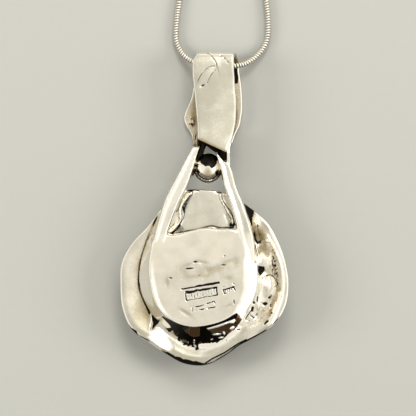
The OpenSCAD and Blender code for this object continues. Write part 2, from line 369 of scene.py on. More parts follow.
def surface(add, settings):
    """The shader of a material, and its output."""
    shader = add("ShaderNodeBsdfPrincipled", settings)
    add("ShaderNodeOutputMaterial", {"Surface": shader.outputs["BSDF"]})


# Colours of the metal, from bright to black; the grime and black colours also paint shade and dark
# reflection
SILVER = (0.93, 0.89, 0.805, 1.0)
SATIN = (0.475, 0.45, 0.375, 1.0)
GRIME_AND_SHADE = (0.37, 0.285, 0.145, 1.0)
PATINA_AND_SHADE = (0.012, 0.010, 0.008, 1.0)
# Features to a millimetre: of the broad clouds, and of the grain
CLOUDS_PER_MM = 0.35
GRAIN_PER_MM = 3.5
# How far the grain breaks up each look
SATIN_GRAIN = 0.7
GRIME_AND_SHADE_GRAIN = 1.6
BLACK_GRAIN = 0.9
LEAST_SATIN = 0.06
# Unevenness of the satin from the clouds, and where black starts and is full
UNEVEN = (0.72, 1.12)
BLACK_STEP = (0.05, 0.65)
# Roughness of polished and of satin silver, and what black, grime and grain add to it
ROUGHNESS = (0.09, 0.42)
BLACK_ROUGHER = 0.22
GRIME_AND_SHADE_ROUGHER = 0.15
GRAIN_ROUGHER = 0.18


def silver_looks_group():
    """Colour, roughness and grain of silver that is polished, satin, grimy or black in places; the grime and
    the black also carry painted shade and dark reflection.
    """
    scalar = "NodeSocketFloat"
    inputs = (("Place", "NodeSocketVector"), ("Satin", scalar), ("Grime_and_shade", scalar), ("Patina_and_shade", scalar))
    outputs = (("Colour", "NodeSocketColor"), ("Roughness", scalar), ("Normal", "NodeSocketVector"))
    tree, add, given = new_group("silver looks", inputs, outputs)
    place, satin, grime_and_shade, patina_and_shade = (given[name] for name, _ in inputs)
    cloudy = noise(add, place, CLOUDS_PER_MM, detail=4.0)
    fine = noise(add, place, GRAIN_PER_MM, detail=5.0, roughness=0.62)
    around_half = math_node(add, "SUBTRACT", fine, 0.5)
    uneven = fit_range(add, cloudy, 0.3, 0.7, *UNEVEN)
    uneven = math_node(add, "MULTIPLY_ADD", around_half, SATIN_GRAIN, uneven)
    dull = math_node(add, "MULTIPLY", math_node(add, "ADD", satin, LEAST_SATIN), uneven, clamp=True)
    colour = mix_colour(add, dull, SILVER, SATIN)
    mottled = math_node(add, "MULTIPLY_ADD", around_half, GRIME_AND_SHADE_GRAIN, 1.0)
    mottled = math_node(add, "MULTIPLY", mottled, grime_and_shade, clamp=True)
    colour = mix_colour(add, mottled, colour, GRIME_AND_SHADE)
    ragged = math_node(add, "MULTIPLY_ADD", around_half, BLACK_GRAIN, patina_and_shade)
    ragged = math_node(add, "MULTIPLY", ragged, patina_and_shade)
    dark = fit_range(add, ragged, *BLACK_STEP)
    colour = mix_colour(add, dark, colour, PATINA_AND_SHADE)
    rough = fit_range(add, satin, 0.0, 1.0, *ROUGHNESS)
    for mask, rougher in ((dark, BLACK_ROUGHER), (mottled, GRIME_AND_SHADE_ROUGHER), (around_half, GRAIN_ROUGHER)):
        rough = math_node(add, "MULTIPLY_ADD", mask, rougher, rough)
    bump = add("ShaderNodeBump", {"Height": fine, "Strength": 0.10, "Distance": 0.02 * MM})
    add("NodeGroupOutput", {"Colour": colour, "Roughness": rough, "Normal": bump.outputs["Normal"]})
    return tree


SILVER_LOOKS = silver_looks_group()


def silver_material(name):
    """Silver that follows the satin, grime and patina attributes of its piece; grime and patina also carry
    painted shade.
    """
    material, add = new_material(name)
    inputs = {"Place": object_place(add)}
    for mark in ("Satin", "Grime_and_shade", "Patina_and_shade"):
        inputs[mark] = attribute(add, mark.lower())
    mottled_reflection = add("ShaderNodeGroup", node_tree=SILVER_LOOKS)
    for socket, value in inputs.items():
        material.node_tree.links.new(value, mottled_reflection.inputs[socket])
    settings = {"Base Color": mottled_reflection.outputs["Colour"], "Roughness": mottled_reflection.outputs["Roughness"],
                "Normal": mottled_reflection.outputs["Normal"], "Metallic": 1.0}
    surface(add, settings)
    return material


# Colours of the stone
STONE_DEEP = (0.045, 0.33, 0.34, 1)
STONE_LIGHT = (0.12, 0.52, 0.50, 1)
STONE_GREEN = (0.20, 0.56, 0.46, 1)
STONE_VEIN = (0.055, 0.030, 0.014, 1)


def turquoise_material():
    """Blue green stone, cloudy and polished, with thin brown veins that lie a little lower."""
    material, add = new_material("turquoise")
    place = object_place(add)
    bend = add("ShaderNodeTexNoise", {"Vector": place, "Scale": 0.5 / MM, "Detail": 4.0}).outputs["Color"]
    pushed = add("ShaderNodeVectorMath", {0: bend, 3: 1.6 * MM}, operation="SCALE").outputs[0]
    moved = add("ShaderNodeVectorMath", {0: place, 1: pushed}, operation="ADD").outputs[0]
    settings = {"Vector": moved, "Scale": 0.32 / MM}
    cracks = add("ShaderNodeTexVoronoi", settings, feature="DISTANCE_TO_EDGE").outputs["Distance"]
    cloudy = noise(add, moved, 0.30, detail=5.0)
    fine = noise(add, place, 2.2, detail=5.0, roughness=0.6)
    colour = mix_colour(add, fit_range(add, cloudy, 0.35, 0.65), STONE_DEEP, STONE_LIGHT)
    colour = mix_colour(add, fit_range(add, fine, 0.45, 0.75, 0.0, 0.5), colour, STONE_GREEN)
    thin = math_node(add, "MULTIPLY_ADD", math_node(add, "SUBTRACT", fine, 0.5), 0.10, cracks)
    vein = fit_range(add, thin, 0.045, 0.015)
    vein = math_node(add, "MULTIPLY", vein, fit_range(add, cloudy, 0.42, 0.55, 1.0, 0.15))
    colour = mix_colour(add, vein, colour, STONE_VEIN)
    rough = math_node(add, "MULTIPLY_ADD", vein, 0.25, 0.14)
    bump = add("ShaderNodeBump", {"Height": vein, "Strength": 0.3, "Distance": 0.05 * MM}, invert=True)
    settings = {"Base Color": colour, "Roughness": rough, "Normal": bump.outputs["Normal"], "IOR": 1.6}
    surface(add, settings)
    return material


def to_mesh(bm, name):
    mesh = bpy.data.meshes.new(name)
    bm.to_mesh(mesh)
    bm.free()
    return mesh


# Studio

# White surroundings from the horizon up: height, colour; then what lies straight above and to the right
SKY = (
    (0.0, (0.95, 0.93, 0.86, 1)),
    (0.4, (1.22, 1.20, 1.12, 1)),
    (0.8, (1.06, 1.04, 0.97, 1)),
    (0.990, (0.95, 0.93, 0.85, 1)),
)
ZENITH = (0.93, 0.89, 0.775, 1.0)
ZENITH_FROM = (0.9940, 0.9985)
SKY_RIGHT = (1.45, 1.43, 1.36, 1.0)
RIGHT_FROM = (0.08, 0.6)
# Dark patch low beyond the pendant's tip, amber at its right end: its top, and the steps sideways
DARK_LOW = (0.050, 0.028, 0.012, 1.0)
AMBER_LOW = (0.17, 0.060, 0.012, 1.0)
DARK_TOP = (0.52, 0.42)
DARK_EDGE = ((-0.3, 0.3), (0.50, 0.60))
DARK_SOFT = 0.05
AMBER_FROM = (0.62, 0.74)
DARK_END = (0.74, 0.79)


def world_light():
    """White surroundings, brightest to the right, with a dark patch low down beyond the pendant's tip."""
    world = bpy.data.worlds.new("studio")
    bpy.context.scene.world = world
    world.use_nodes = True
    world.node_tree.nodes.clear()
    add = nodes_of(world.node_tree)
    way = add("ShaderNodeTexCoord").outputs["Generated"]
    split = add("ShaderNodeSeparateXYZ", {"Vector": way})
    x, y, z = (split.outputs[i] for i in range(3))
    ramp = add("ShaderNodeValToRGB", {"Fac": z})
    elements = ramp.color_ramp.elements
    for element, (height, colour) in zip(elements, (SKY[0], SKY[-1])):
        element.position = height
        element.color = colour
    for height, colour in SKY[1:-1]:
        elements.new(height).color = colour
    colour = mix_colour(add, fit_range(add, x, *RIGHT_FROM), ramp.outputs["Color"], SKY_RIGHT)
    colour = mix_colour(add, fit_range(add, z, *ZENITH_FROM), colour, ZENITH)
    level = math_node(add, "SUBTRACT", 1.0, math_node(add, "MULTIPLY", z, z), clamp=True)
    level = math_node(add, "MAXIMUM", math_node(add, "SQRT", level), 0.001)
    toward = math_node(add, "DIVIDE", math_node(add, "MULTIPLY", y, -1.0), level)
    sideways = math_node(add, "DIVIDE", x, level)
    reach = fit_range(add, sideways, *DARK_EDGE[0], *DARK_EDGE[1])
    side = fit_range(add, math_node(add, "SUBTRACT", toward, reach), 0.0, DARK_SOFT)
    low = fit_range(add, z, *DARK_TOP)
    dark_colour = mix_colour(add, fit_range(add, sideways, *AMBER_FROM), DARK_LOW, AMBER_LOW)
    side = math_node(add, "MULTIPLY", side, fit_range(add, sideways, *DARK_END, 1.0, 0.0))
    colour = mix_colour(add, math_node(add, "MULTIPLY", side, low), colour, dark_colour)
    background = add("ShaderNodeBackground", {"Color": colour, "Strength": 1.0})
    add("ShaderNodeOutputWorld", {"Surface": background.outputs["Background"]})


FLOOR_SIZE = 6000.0
FLOOR_GAP = 0.02
PAPER = ((0.205, 0.205, 0.190, 1), (0.195, 0.195, 0.179, 1))
PAPER_ROUGHNESS = 0.75


def make_floor():
    bm = bmesh.new()
    bmesh.ops.create_grid(bm, x_segments=4, y_segments=4, size=FLOOR_SIZE / 2 * MM)
    mesh = to_mesh(bm, "floor")
    floor = bpy.data.objects.new("floor", mesh)
    floor.location = (0, 0, cad_low.z - FLOOR_GAP * MM)
    bpy.context.scene.collection.objects.link(floor)
    material, add = new_material("floor paper")
    place = object_place(add)
    grain = noise(add, place, 0.8, detail=4.0)
    colour = mix_colour(add, fit_range(add, grain, 0.3, 0.7, 0.0, 0.3), *PAPER)
    surface(add, {"Base Color": colour, "Roughness": PAPER_ROUGHNESS})
    mesh.materials.append(material)


LAMP = (1.0, 0.98, 0.93)
LAMP_AIM = (0, 10, 0)
# Soft square lights; most are seen by the paper alone, so that they shape its shadows.
# Name, place, size, power, whether the metal mirrors it
SQUARE_LIGHTS = (
    ("key", (250, 350, 700), 300, 1.7, True),
    ("far side", (20, 500, 450), 250, 4.3, False),
    ("left side", (-550, 60, 300), 250, 5.1, False),
    ("right side", (550, 60, 300), 250, 4.6, False),
)
# Soft round pools of light on the paper, from straight above: name, place, radius, power
POOLS = (
    ("loop fill", (0.4, 19.6), 5.0, 4.2),
    ("neck fill", (0.9, 25.5), 3.2, 6.0),
)
POOL_HEIGHT = 400
POOL_LAMP_R = 2


def place_light(name, kind, power, at, aim, in_metal):
    data = bpy.data.lights.new(name, kind)
    data.energy = power
    data.color = LAMP
    light = bpy.data.objects.new(name, data)
    light.location = to_frame(at)
    light.visible_glossy = in_metal
    light.rotation_mode = "QUATERNION"
    light.rotation_quaternion = (to_frame(aim) - to_frame(at)).to_track_quat("-Z", "Y")
    bpy.context.scene.collection.objects.link(light)
    return data


def make_lights():
    for name, at, size, power, in_metal in SQUARE_LIGHTS:
        data = place_light(name, "AREA", power, at, LAMP_AIM, in_metal)
        data.shape = "RECTANGLE"
        data.size = size * MM
        data.size_y = size * MM
    for name, at, radius, power in POOLS:
        data = place_light(name, "SPOT", power, (*at, POOL_HEIGHT), (*at, 0), False)
        data.spot_size = 2 * math.atan(radius / POOL_HEIGHT)
        data.spot_blend = 1.0
        data.shadow_soft_size = POOL_LAMP_R * MM


bpy.context.scene.view_settings.view_transform = "Standard"
world_light()
make_floor()
make_lights()


# Meshes shaped from grids

# Points closer together than this are one
SAME_POINT = 0.0002


def grid_shape(columns, rows, place):
    """A grid laid on a surface: place(u, v) gives its points in millimetres; u and v run from 0 to 1."""
    bm = bmesh.new()
    bmesh.ops.create_grid(bm, x_segments=columns, y_segments=rows, size=0.5)
    uv = np.array([v.co[:2] for v in bm.verts]) + 0.5
    points = place(uv[:, 0], uv[:, 1])
    for vert, point in zip(bm.verts, points.tolist()):
        vert.co = point
    bmesh.ops.remove_doubles(bm, verts=bm.verts, dist=SAME_POINT)
    bmesh.ops.recalc_face_normals(bm, faces=bm.faces)
    return bm


def joined(parts):
    """One bmesh from several."""
    mesh = bpy.data.meshes.new("joined")
    whole = bmesh.new()
    for part in parts:
        part.to_mesh(mesh)
        part.free()
        whole.from_mesh(mesh)
    bpy.data.meshes.remove(mesh)
    return whole


def voxel_skin(bm, size, name):
    """The bmesh as one even skin of small faces."""
    rough = to_mesh(bm, "rough")
    carrier = bpy.data.objects.new("rough", rough)
    bpy.context.scene.collection.objects.link(carrier)
    remesh = carrier.modifiers.new("skin", "REMESH")
    remesh.mode = "VOXEL"
    remesh.voxel_size = size
    depsgraph = bpy.context.evaluated_depsgraph_get()
    skin = bpy.data.meshes.new_from_object(carrier.evaluated_get(depsgraph))
    skin.name = name
    bpy.data.objects.remove(carrier)
    bpy.data.meshes.remove(rough)
    return skin


# How much stronger the step is that restores the size after each round of smoothing
STEP_BACK = 1.04


class Skin:
    """Places and neighbours of a mesh's points as arrays, for shaping by formula."""

    def __init__(self, mesh):
        self.mesh = mesh
        self.at = np.zeros(len(mesh.vertices) * 3)
        mesh.vertices.foreach_get("co", self.at)
        self.at = self.at.reshape(-1, 3)
        ends = np.zeros(len(mesh.edges) * 2, int)
        mesh.edges.foreach_get("vertices", ends)
        self.ends = ends.reshape(-1, 2)
        self.degree = np.bincount(ends, minlength=len(self.at))[:, None].astype(float)

    @property
    def x(self):
        return self.at[:, 0]

    @property
    def y(self):
        return self.at[:, 1]

    @property
    def z(self):
        return self.at[:, 2]

    def normals(self):
        self.store()
        out = np.zeros(len(self.at) * 3)
        self.mesh.vertices.foreach_get("normal", out)
        return out.reshape(-1, 3)

    def store(self):
        self.mesh.vertices.foreach_set("co", self.at.ravel())
        self.mesh.update()

    def neighbour_mean(self, values):
        a, b = self.ends[:, 0], self.ends[:, 1]
        total = np.zeros_like(values)
        for axis in range(values.shape[1]):
            total[:, axis] = np.bincount(a, values[b, axis], len(values))
            total[:, axis] += np.bincount(b, values[a, axis], len(values))
        return total / self.degree

    def smooth(self, rounds, share=0.5, keep_size=True):
        """Evens the skin out, and restores the size that each round takes off."""
        for _ in range(rounds):
            self.at += share * (self.neighbour_mean(self.at) - self.at)
            if keep_size:
                self.at -= share * STEP_BACK * (self.neighbour_mean(self.at) - self.at)

    def hollows(self, rounds):
        """How far each point lies below its surroundings, in millimetres."""
        normals = self.normals()
        wide = self.at.copy()
        for _ in range(rounds):
            wide = 0.5 * wide + 0.5 * self.neighbour_mean(wide)
        return np.sum((wide - self.at) * normals, axis=1)


def grid_skin(name, columns, rows, place):
    """The skin of a grid laid on a surface."""
    return Skin(to_mesh(grid_shape(columns, rows, place), name))


def put_attribute(mesh, name, values):
    layer = mesh.attributes.new(name, "FLOAT", "POINT")
    layer.data.foreach_set("value", np.clip(values, 0, 1).astype(np.float32))


def silver_piece(name, skin, satin=0.0, grime_and_shade=0.0, patina_and_shade=0.0, node="silver_body"):
    """The skin as a finished piece, with how satin, grimy and black it is at each point; the grime and the
    black also carry painted shade.
    """
    skin.store()
    for mark, values in (("satin", satin), ("grime_and_shade", grime_and_shade), ("patina_and_shade", patina_and_shade)):
        put_attribute(skin.mesh, mark, values + 0 * skin.x)
    finished(name, skin.mesh, SILVER_FINISH, node)


def finished(name, mesh, material, node):
    """The mesh as a piece of the model, carried over from millimetres to the frame."""
    mesh.transform(Matrix.Translation(ORIGIN) @ Matrix.Scale(MM, 4))
    mesh.polygons.foreach_set("use_smooth", np.ones(len(mesh.polygons), bool))
    mesh.materials.clear()
    mesh.materials.append(material)
    piece = bpy.data.objects.new(name, mesh)
    bpy.context.scene.collection.objects.link(piece)
    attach(piece, "root")
    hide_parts(node)


SILVER_FINISH = silver_material("silver")

# Silver sheet, a row every 15 degrees from the pendant's right:
# outline radius, height of the trough, of the ridge and of the rim, share of the radius at the ridge
SHEET = (
    (15.9, 4.4, 6.2, 5.7, 0.93), (15.9, 4.3, 6.2, 5.7, 0.93), (16.2, 4.2, 6.1, 5.6, 0.91),
    (16.8, 4.2, 5.9, 5.4, 0.91), (17.0, 4.6, 5.3, 4.9, 0.92), (17.8, 5.0, 5.0, 4.9, 0.91),
    (18.1, 5.0, 5.0, 4.9, 0.90), (18.3, 5.0, 5.0, 4.9, 0.90), (16.7, 4.9, 5.0, 4.9, 0.92),
    (15.6, 4.7, 5.1, 4.9, 0.95), (16.0, 4.6, 5.1, 5.0, 0.96), (16.4, 4.6, 5.1, 5.0, 0.96),
    (16.1, 4.6, 5.1, 4.9, 0.96), (16.3, 4.6, 5.1, 4.7, 0.95), (16.3, 4.5, 5.1, 4.5, 0.94),
    (15.3, 4.6, 5.3, 4.3, 0.91), (15.0, 4.8, 5.5, 4.1, 0.90), (15.4, 4.9, 5.5, 4.0, 0.90),
    (15.2, 4.9, 5.5, 4.0, 0.90), (14.0, 4.9, 5.5, 4.1, 0.90), (13.2, 4.9, 5.6, 4.4, 0.90),
    (13.8, 4.8, 5.7, 4.7, 0.90), (15.1, 4.6, 5.9, 5.1, 0.90), (15.8, 4.5, 6.1, 5.5, 0.92),
)
S_RADIUS, S_TROUGH, S_RIDGE, S_RIM, S_RIDGE_AT = range(5)
SHEET_Z = 5.0
SHEET_T = 1.0
FLAT_TO = 0.60
TROUGH_AT = 0.77
# Outer slope: share of its fall that is even, and how late the rest comes
EVEN_FALL = 0.12
RIM_SHARPNESS = 9.0
# Crest along the ridge: height, width as a share of the radius, middle and half of its angles
CREST = 0.20
CREST_WIDE = 0.014
CREST_MIDDLE = 15
CREST_HALF = 28
SHEET_GRID = (560, 132)
# The shell's rows: shares of the way round it for the plain middle, the back, the rim and the front
RIM_ROUND = 0.22
MIDDLE_TO = 0.06
MIDDLE_SHARE = 0.40
BACK_SPAN = 0.72
RIM_FROM = 0.78
RIM_SPAN = 0.06
RIM_TOP = 0.81
RIM_TO = 0.84
FRONT_SPAN = 0.16


def polar(x, y):
    return np.degrees(np.arctan2(y, x)) % 360, np.hypot(x, y)


def from_polar(angle, r):
    return r * np.cos(np.radians(angle)), r * np.sin(np.radians(angle))


def angle_from(angle, middle):
    return (angle - middle + 180) % 360 - 180


def sheet_base(angle, share):
    """Height of the sheet's back face before its marks; its outer slope stays level until near the rim."""
    trough, ridge, rim, ridge_at = (around(SHEET, k, angle) for k in (S_TROUGH, S_RIDGE, S_RIM, S_RIDGE_AT))
    inner = on_profile(share, ((0.0, SHEET_Z), (FLAT_TO, SHEET_Z), (TROUGH_AT, trough), (ridge_at, ridge)))
    t = np.clip((share - ridge_at) / (1 - ridge_at), 0, 1)
    fall = EVEN_FALL * t + (1 - EVEN_FALL) * t ** RIM_SHARPNESS
    crest = CREST * bell(share - ridge_at, CREST_WIDE) * bell(angle_from(angle, CREST_MIDDLE), CREST_HALF)
    return np.where(share > ridge_at, blend(ridge, rim, fall), inner) + crest


# Lumps of molten silver in the trough: middle, half sizes, turn, height over the sheet
LUMPS = (
    ((11.7, 4.5), (1.7, 2.3), -8, 0.50), ((11.8, -0.3), (1.7, 2.5), 10, 0.55),
    ((11.2, 7.2), (1.4, 1.1), -5, 0.25), ((9.9, 12.3), (0.8, 1.6), -12, 0.40),
    ((10.0, -3.9), (0.6, 1.2), 10, 0.25), ((11.0, -5.4), (1.6, 1.1), 40, 0.30),
    ((9.2, -6.8), (1.3, 0.8), 35, 0.25), ((12.0, -7.7), (1.3, 0.7), 40, 0.15),
    ((8.6, -5.0), (0.5, 1.1), -35, 0.20), ((12.9, -4.2), (0.7, 1.4), -20, 0.20),
)
# Ridges of solder along the sides of the window between the arms: points, width, height
WINDOW_RIDGES = (
    (((-2.6, 18.0), (-2.75, 17.3), (-3.5, 16.6), (-4.3, 15.4), (-4.7, 14.3), (-4.7, 13.2), (-4.7, 12.2),
      (-5.3, 11.2), (-6.1, 10.4), (-6.7, 9.5)), 0.34, 0.50),
    (((3.0, 17.3), (3.1, 16.3), (3.9, 14.8), (4.5, 13.7), (5.1, 12.7), (5.3, 11.5)), 0.22, 0.40),
)
# Other ridges on the sheet
SHEET_RIDGES = (
    (((10.5, 8.25), (11.3, 8.5), (12.1, 8.3)), 0.14, 0.26),
    (((9.75, 8.0), (9.9, 6.6), (10.25, 5.2), (10.4, 4.3)), 0.12, 0.22),
    (((11.2, 1.3), (10.8, 0.2), (10.35, -2.0)), 0.30, 0.14),
    (((12.8, 1.2), (13.1, -0.4), (12.7, -1.6)), 0.30, 0.14),
    (((14.3, -2.0), (13.5, -4.6), (12.5, -7.2)), 0.50, 0.16), (((10.3, -3.0), (10.1, -4.6)), 0.16, 0.15),
    (((-10.3, -5.5), (-10.15, -6.3), (-10.35, -7.2), (-10.6, -8.4)), 0.14, 0.20),
    (((-0.6, -11.6), (1.2, -11.3), (2.8, -10.6), (4.4, -9.3), (5.9, -8.6)), 0.70, 0.30),
)
SEAM = (
    (-9.0, 13.2), (-9.9, 11.2), (-10.6, 9.2), (-11.2, 7.2), (-11.8, 5.3), (-12.2, 3.8), (-12.4, 2.0),
    (-12.45, 0.2), (-12.2, -1.2), (-11.6, -2.8), (-10.9, -4.4), (-10.5, -5.4),
)
# Stretches of the seam that are widest and darkest: y, half length
SEAM_DARK = ((12.1, 0.9), (4.5, 1.0), (0.5, 1.0), (-4.6, 2.2))
# Black lines in the sheet, which are grooves too: points, width, blackness
BLACK_LINES = (
    # The first three run along the plate's lip: painted shadow under the lip, cut in as grooves too.
    (((-5.6, 9.8), (-4.5, 10.0), (-3.0, 10.2), (-1.2, 10.45), (0.3, 10.95), (1.4, 11.1), (2.5, 10.8),
      (3.8, 10.75), (5.4, 10.9)), 0.13, 0.80),
    (((0.3, 10.65), (1.4, 10.6), (2.6, 10.55)), 0.11, 1.0), (((3.9, 10.45), (5.1, 10.4)), 0.09, 0.7),
    (((-2.7, 18.05), (-1.9, 18.0), (-1.1, 17.9)), 0.13, 1.2), (((2.1, 17.6), (3.0, 17.5)), 0.13, 1.1),
    (((-3.2, 18.0), (-4.5, 16.3), (-5.0, 14.7), (-5.7, 13.7)), 0.13, 0.85),
    (((-4.25, 14.8), (-3.95, 13.7), (-4.1, 12.7), (-4.7, 11.7)), 0.14, 0.85),
    (((-5.8, 11.6), (-6.6, 10.9), (-7.15, 10.0), (-7.3, 9.2), (-6.9, 8.7)), 0.15, 0.80),
    (((4.0, 13.4), (4.5, 12.3), (4.85, 11.4)), 0.30, 0.60),
    (((3.15, 16.9), (3.5, 15.8), (4.2, 14.9), (5.0, 13.8), (5.45, 12.5), (5.65, 11.4)), 0.12, 0.90),
    (((2.6, 17.2), (2.75, 16.3), (3.3, 15.2)), 0.14, 0.45),
    (((10.1, 10.6), (10.2, 9.9), (10.35, 9.2)), 0.18, 0.5),
    (((9.35, 9.8), (9.5, 8.8), (9.95, 8.15), (10.5, 8.2)), 0.30, 0.95),
    (((9.6, 7.6), (9.75, 6.6), (10.1, 5.4)), 0.10, 0.7),
    (((10.3, 7.2), (10.5, 6.2), (10.45, 5.3), (10.35, 4.6)), 0.12, 0.5),
    (((11.7, 1.8), (12.5, 1.9), (13.1, 1.4), (13.5, 1.1)), 0.11, 0.95),
    (((12.75, 4.5), (12.85, 3.6)), 0.10, 1.1), (((9.95, -2.2), (9.9, -3.1)), 0.13, 1.1),
    (((9.2, -4.3), (8.8, -4.8), (8.2, -5.6), (7.7, -6.4)), 0.13, 0.9),
    (((8.7, -5.8), (9.3, -6.2)), 0.14, 0.9), (((7.7, -6.6), (8.5, -6.75)), 0.10, 0.6),
    (((9.6, -1.6), (9.2, -3.2)), 0.09, 0.5),
)
# Dark line along the sheet's inner lower edge, painted reflection of the dark shade below the rim
INNER_EDGE = ((0.1, -14.8), (1.5, -13.9), (3.6, -12.85), (5.0, -11.95), (6.3, -11.1), (7.8, -10.35))
INNER_EDGE_WIDE = 0.17
# Black pits: middle, half sizes, turn, blackness
BLACK_SPOTS = (
    ((-2.75, 17.95), (0.40, 0.24), 0, 1.5), ((11.45, -3.55), (0.42, 0.34), 20, 1.5),
    ((10.95, -3.45), (0.25, 0.09), -15, 1.0), ((12.25, -2.35), (0.34, 0.20), 30, 1.3),
    ((12.45, -3.8), (0.17, 0.17), 0, 1.1), ((9.3, -3.35), (0.30, 0.28), -20, 1.1),
    ((8.95, -4.5), (0.20, 0.48), -15, 1.3), ((12.6, -5.3), (0.19, 0.19), 0, 1.3),
    ((12.35, -5.8), (0.22, 0.16), 60, 0.9), ((11.75, -6.9), (0.42, 0.22), 40, 1.3),
    ((11.35, -7.35), (0.25, 0.18), 50, 0.9), ((9.55, -6.6), (0.18, 0.13), 40, 0.8),
    ((14.55, -2.2), (0.11, 0.18), 0, 0.9), ((13.1, 5.2), (0.14, 0.10), 0, 1.0),
    ((13.4, 3.8), (0.12, 0.20), 30, 1.0), ((13.65, 3.2), (0.10, 0.12), 0, 0.9),
    ((12.7, 4.9), (0.09, 0.09), 0, 0.8), ((13.6, 0.6), (0.10, 0.14), 0, 0.7),
    ((13.2, 2.2), (0.10, 0.14), 0, 0.8),
)
# Black patches: corners, softness of the edge, blackness
BLACK_PATCHES = (
    (((7.4, 15.5), (8.2, 15.0), (9.3, 14.1), (9.25, 13.5), (9.0, 12.8), (8.95, 12.0), (8.85, 11.2),
      (8.3, 11.4), (7.2, 14.0)), 0.20, 1.4),
    (((10.15, 3.7), (11.3, 3.45), (11.35, 2.8), (10.8, 2.1), (10.4, 1.8), (10.1, 2.6)), 0.50, 1.3),
    (((-10.15, -5.6), (-9.5, -6.1), (-8.7, -7.05), (-9.3, -7.7), (-10.0, -8.4), (-9.85, -7.1)),
      0.20, 1.4),
    # The last three soft patches, beside the window's ridges, are painted shade.
    (((-2.8, 17.2), (-3.7, 16.3), (-4.2, 15.4), (-4.3, 14.2), (-3.8, 13.8), (-3.3, 15.0), (-2.9, 16.0),
      (-2.5, 16.9)), 0.80, 0.80),
    (((-4.2, 11.3), (-5.2, 10.8), (-5.6, 10.1), (-4.6, 10.1), (-3.8, 10.4)), 0.60, 0.65),
    (((4.1, 11.2), (5.0, 11.8), (5.8, 11.6), (5.5, 10.8), (3.8, 10.75)), 0.70, 0.50),
)
# Tan spots: middle, half sizes, turn, strength; and tan lines: points, width, strength
TAN_SPOTS = (
    ((10.8, 10.0), (1.2, 1.5), 0, 0.75), ((9.9, 9.0), (0.6, 0.8), 0, 0.50),
    ((10.9, 6.9), (1.4, 1.0), 0, 0.50), ((-12.8, 5.0), (1.6, 4.5), 0, 0.26),
    ((-10.9, -7.0), (0.4, 1.2), 0, 0.35), ((11.8, 2.8), (0.9, 0.9), 0, 0.50),
    ((11.3, -5.6), (1.6, 1.8), -20, 0.30), ((-13.2, -1.0), (2.2, 4.0), 0, 0.18),
    ((-11.9, -5.8), (1.5, 2.2), 10, 0.55), ((-4.0, -13.2), (4.0, 1.2), -25, 0.15),
    ((12.4, -2.5), (0.55, 0.50), 0, 0.5), ((12.55, -5.4), (0.5, 0.7), 0, 0.6),
    ((11.7, -6.9), (0.7, 0.5), 40, 0.6), ((10.3, -4.9), (1.0, 0.9), 0, 0.25),
    ((9.9, 6.0), (0.35, 1.4), 0, 0.45), ((10.6, 1.6), (0.35, 0.7), 0, 0.7),
)
TAN_LINES = (
    (((9.3, 13.8), (9.05, 12.4), (9.05, 11.2), (9.4, 10.2)), 0.35, 0.6),
    (((12.6, 9.0), (13.2, 6.8), (13.8, 4.8), (14.2, 2.8), (14.3, 0.8), (14.1, -1.0)), 0.45, 0.5),
    (((3.6, 17.2), (4.2, 15.8), (5.1, 13.9)), 0.40, 0.45),
    (((11.9, 1.4), (11.8, 0.0), (11.6, -2.0)), 0.40, 0.45),
    (((-3.2, 17.6), (-4.3, 15.9), (-5.2, 13.6)), 0.30, 0.3),
    (((-5.2, 10.1), (-3.0, 10.35), (-1.2, 10.6), (0.3, 11.1), (1.4, 11.3), (2.7, 10.95), (4.2, 10.9)),
      0.16, 0.7),
    (SEAM, 0.6, 0.50), (((14.1, -0.8), (13.3, -2.6), (12.75, -4.4), (12.3, -6.0)), 0.42, 0.8),
)
# Loose grains along the trough: their line and its width
GRAINS = ((12.9, 6.6), (13.1, 5.0), (13.35, 3.0), (13.55, 1.2), (13.5, -0.6))
GRAINS_WIDE = 0.45
# Brightly polished spots, lines and patches, in the same order: partly real polish, partly painted
# highlights kept clear of satin and grime
POLISHED_HIGHLIGHT_SPOTS = (
    ((9.85, 12.4), (0.55, 1.2), -12, 1.3), ((11.9, 4.9), (0.9, 1.1), 0, 1.4),
    ((-5.4, 12.5), (0.7, 0.8), 0, 1.0),
)
POLISHED_HIGHLIGHT_LINES = (
    (((12.4, 10.2), (13.0, 8.6), (13.7, 6.6), (14.3, 4.6), (14.7, 2.6), (14.85, 0.5), (14.8, -1.2)),
      0.27, 1.2),
    (((14.2, -1.8), (13.4, -4.6), (12.4, -7.4)), 0.6, 1.2),
)
# Flat place in the band below the frame, tilted to catch the light: its outline, the way it rises,
# its height where it starts, and its slope
FACET = (
    (-10.9, -9.9), (-8.9, -8.2), (-8.3, -8.4), (-6.5, -10.5), (-6.0, -11.8), (-6.6, -12.3),
    (-8.5, -11.9), (-10.3, -10.6),
)
FACET_WAY = (-0.58, -0.81)
FACET_START = (12.4, 4.85)
FACET_SLOPE = 0.283
FACET_SOFT = 0.7
POLISHED_HIGHLIGHT_PATCHES = (
    (FACET, 0.9, 1.2),
    (((0.3, -12.4), (3.0, -11.4), (5.7, -9.7), (5.9, -8.6), (4.5, -9.4), (2.5, -10.9), (0.0, -11.6)),
      0.9, 1.0),
)
# Dark edge of the rim, painted reflection of the dark shade below it: angle, width
EDGE_DARK = (
    (208, 0.0), (213, 0.48), (218, 0.0), (235, 0.0), (243, 0.55), (255, 0.90), (266, 0.75), (271, 0.20),
    (276, 0.22), (300, 0.26), (318, 0.22), (332, 0.0),
)
# Satin of the sheet all over and in its lower part, and the places that are duller: middle, half sizes
SHEET_SATIN = 0.45
LOWER_SATIN = 0.65
WINDOW_DULL = ((0, 14), (4.6, 5.5))
TROUGH_DULL = ((10.5, 6.5), (1.4, 1.6))
SEAM_END_DULL = ((-12.0, -5.5), (1.8, 2.4))
# How sharply the lumps run into each other
BLENDING = 3
GROOVE = 0.14
SEAM_DEEP = 0.30
SEAM_WIDE = 0.16
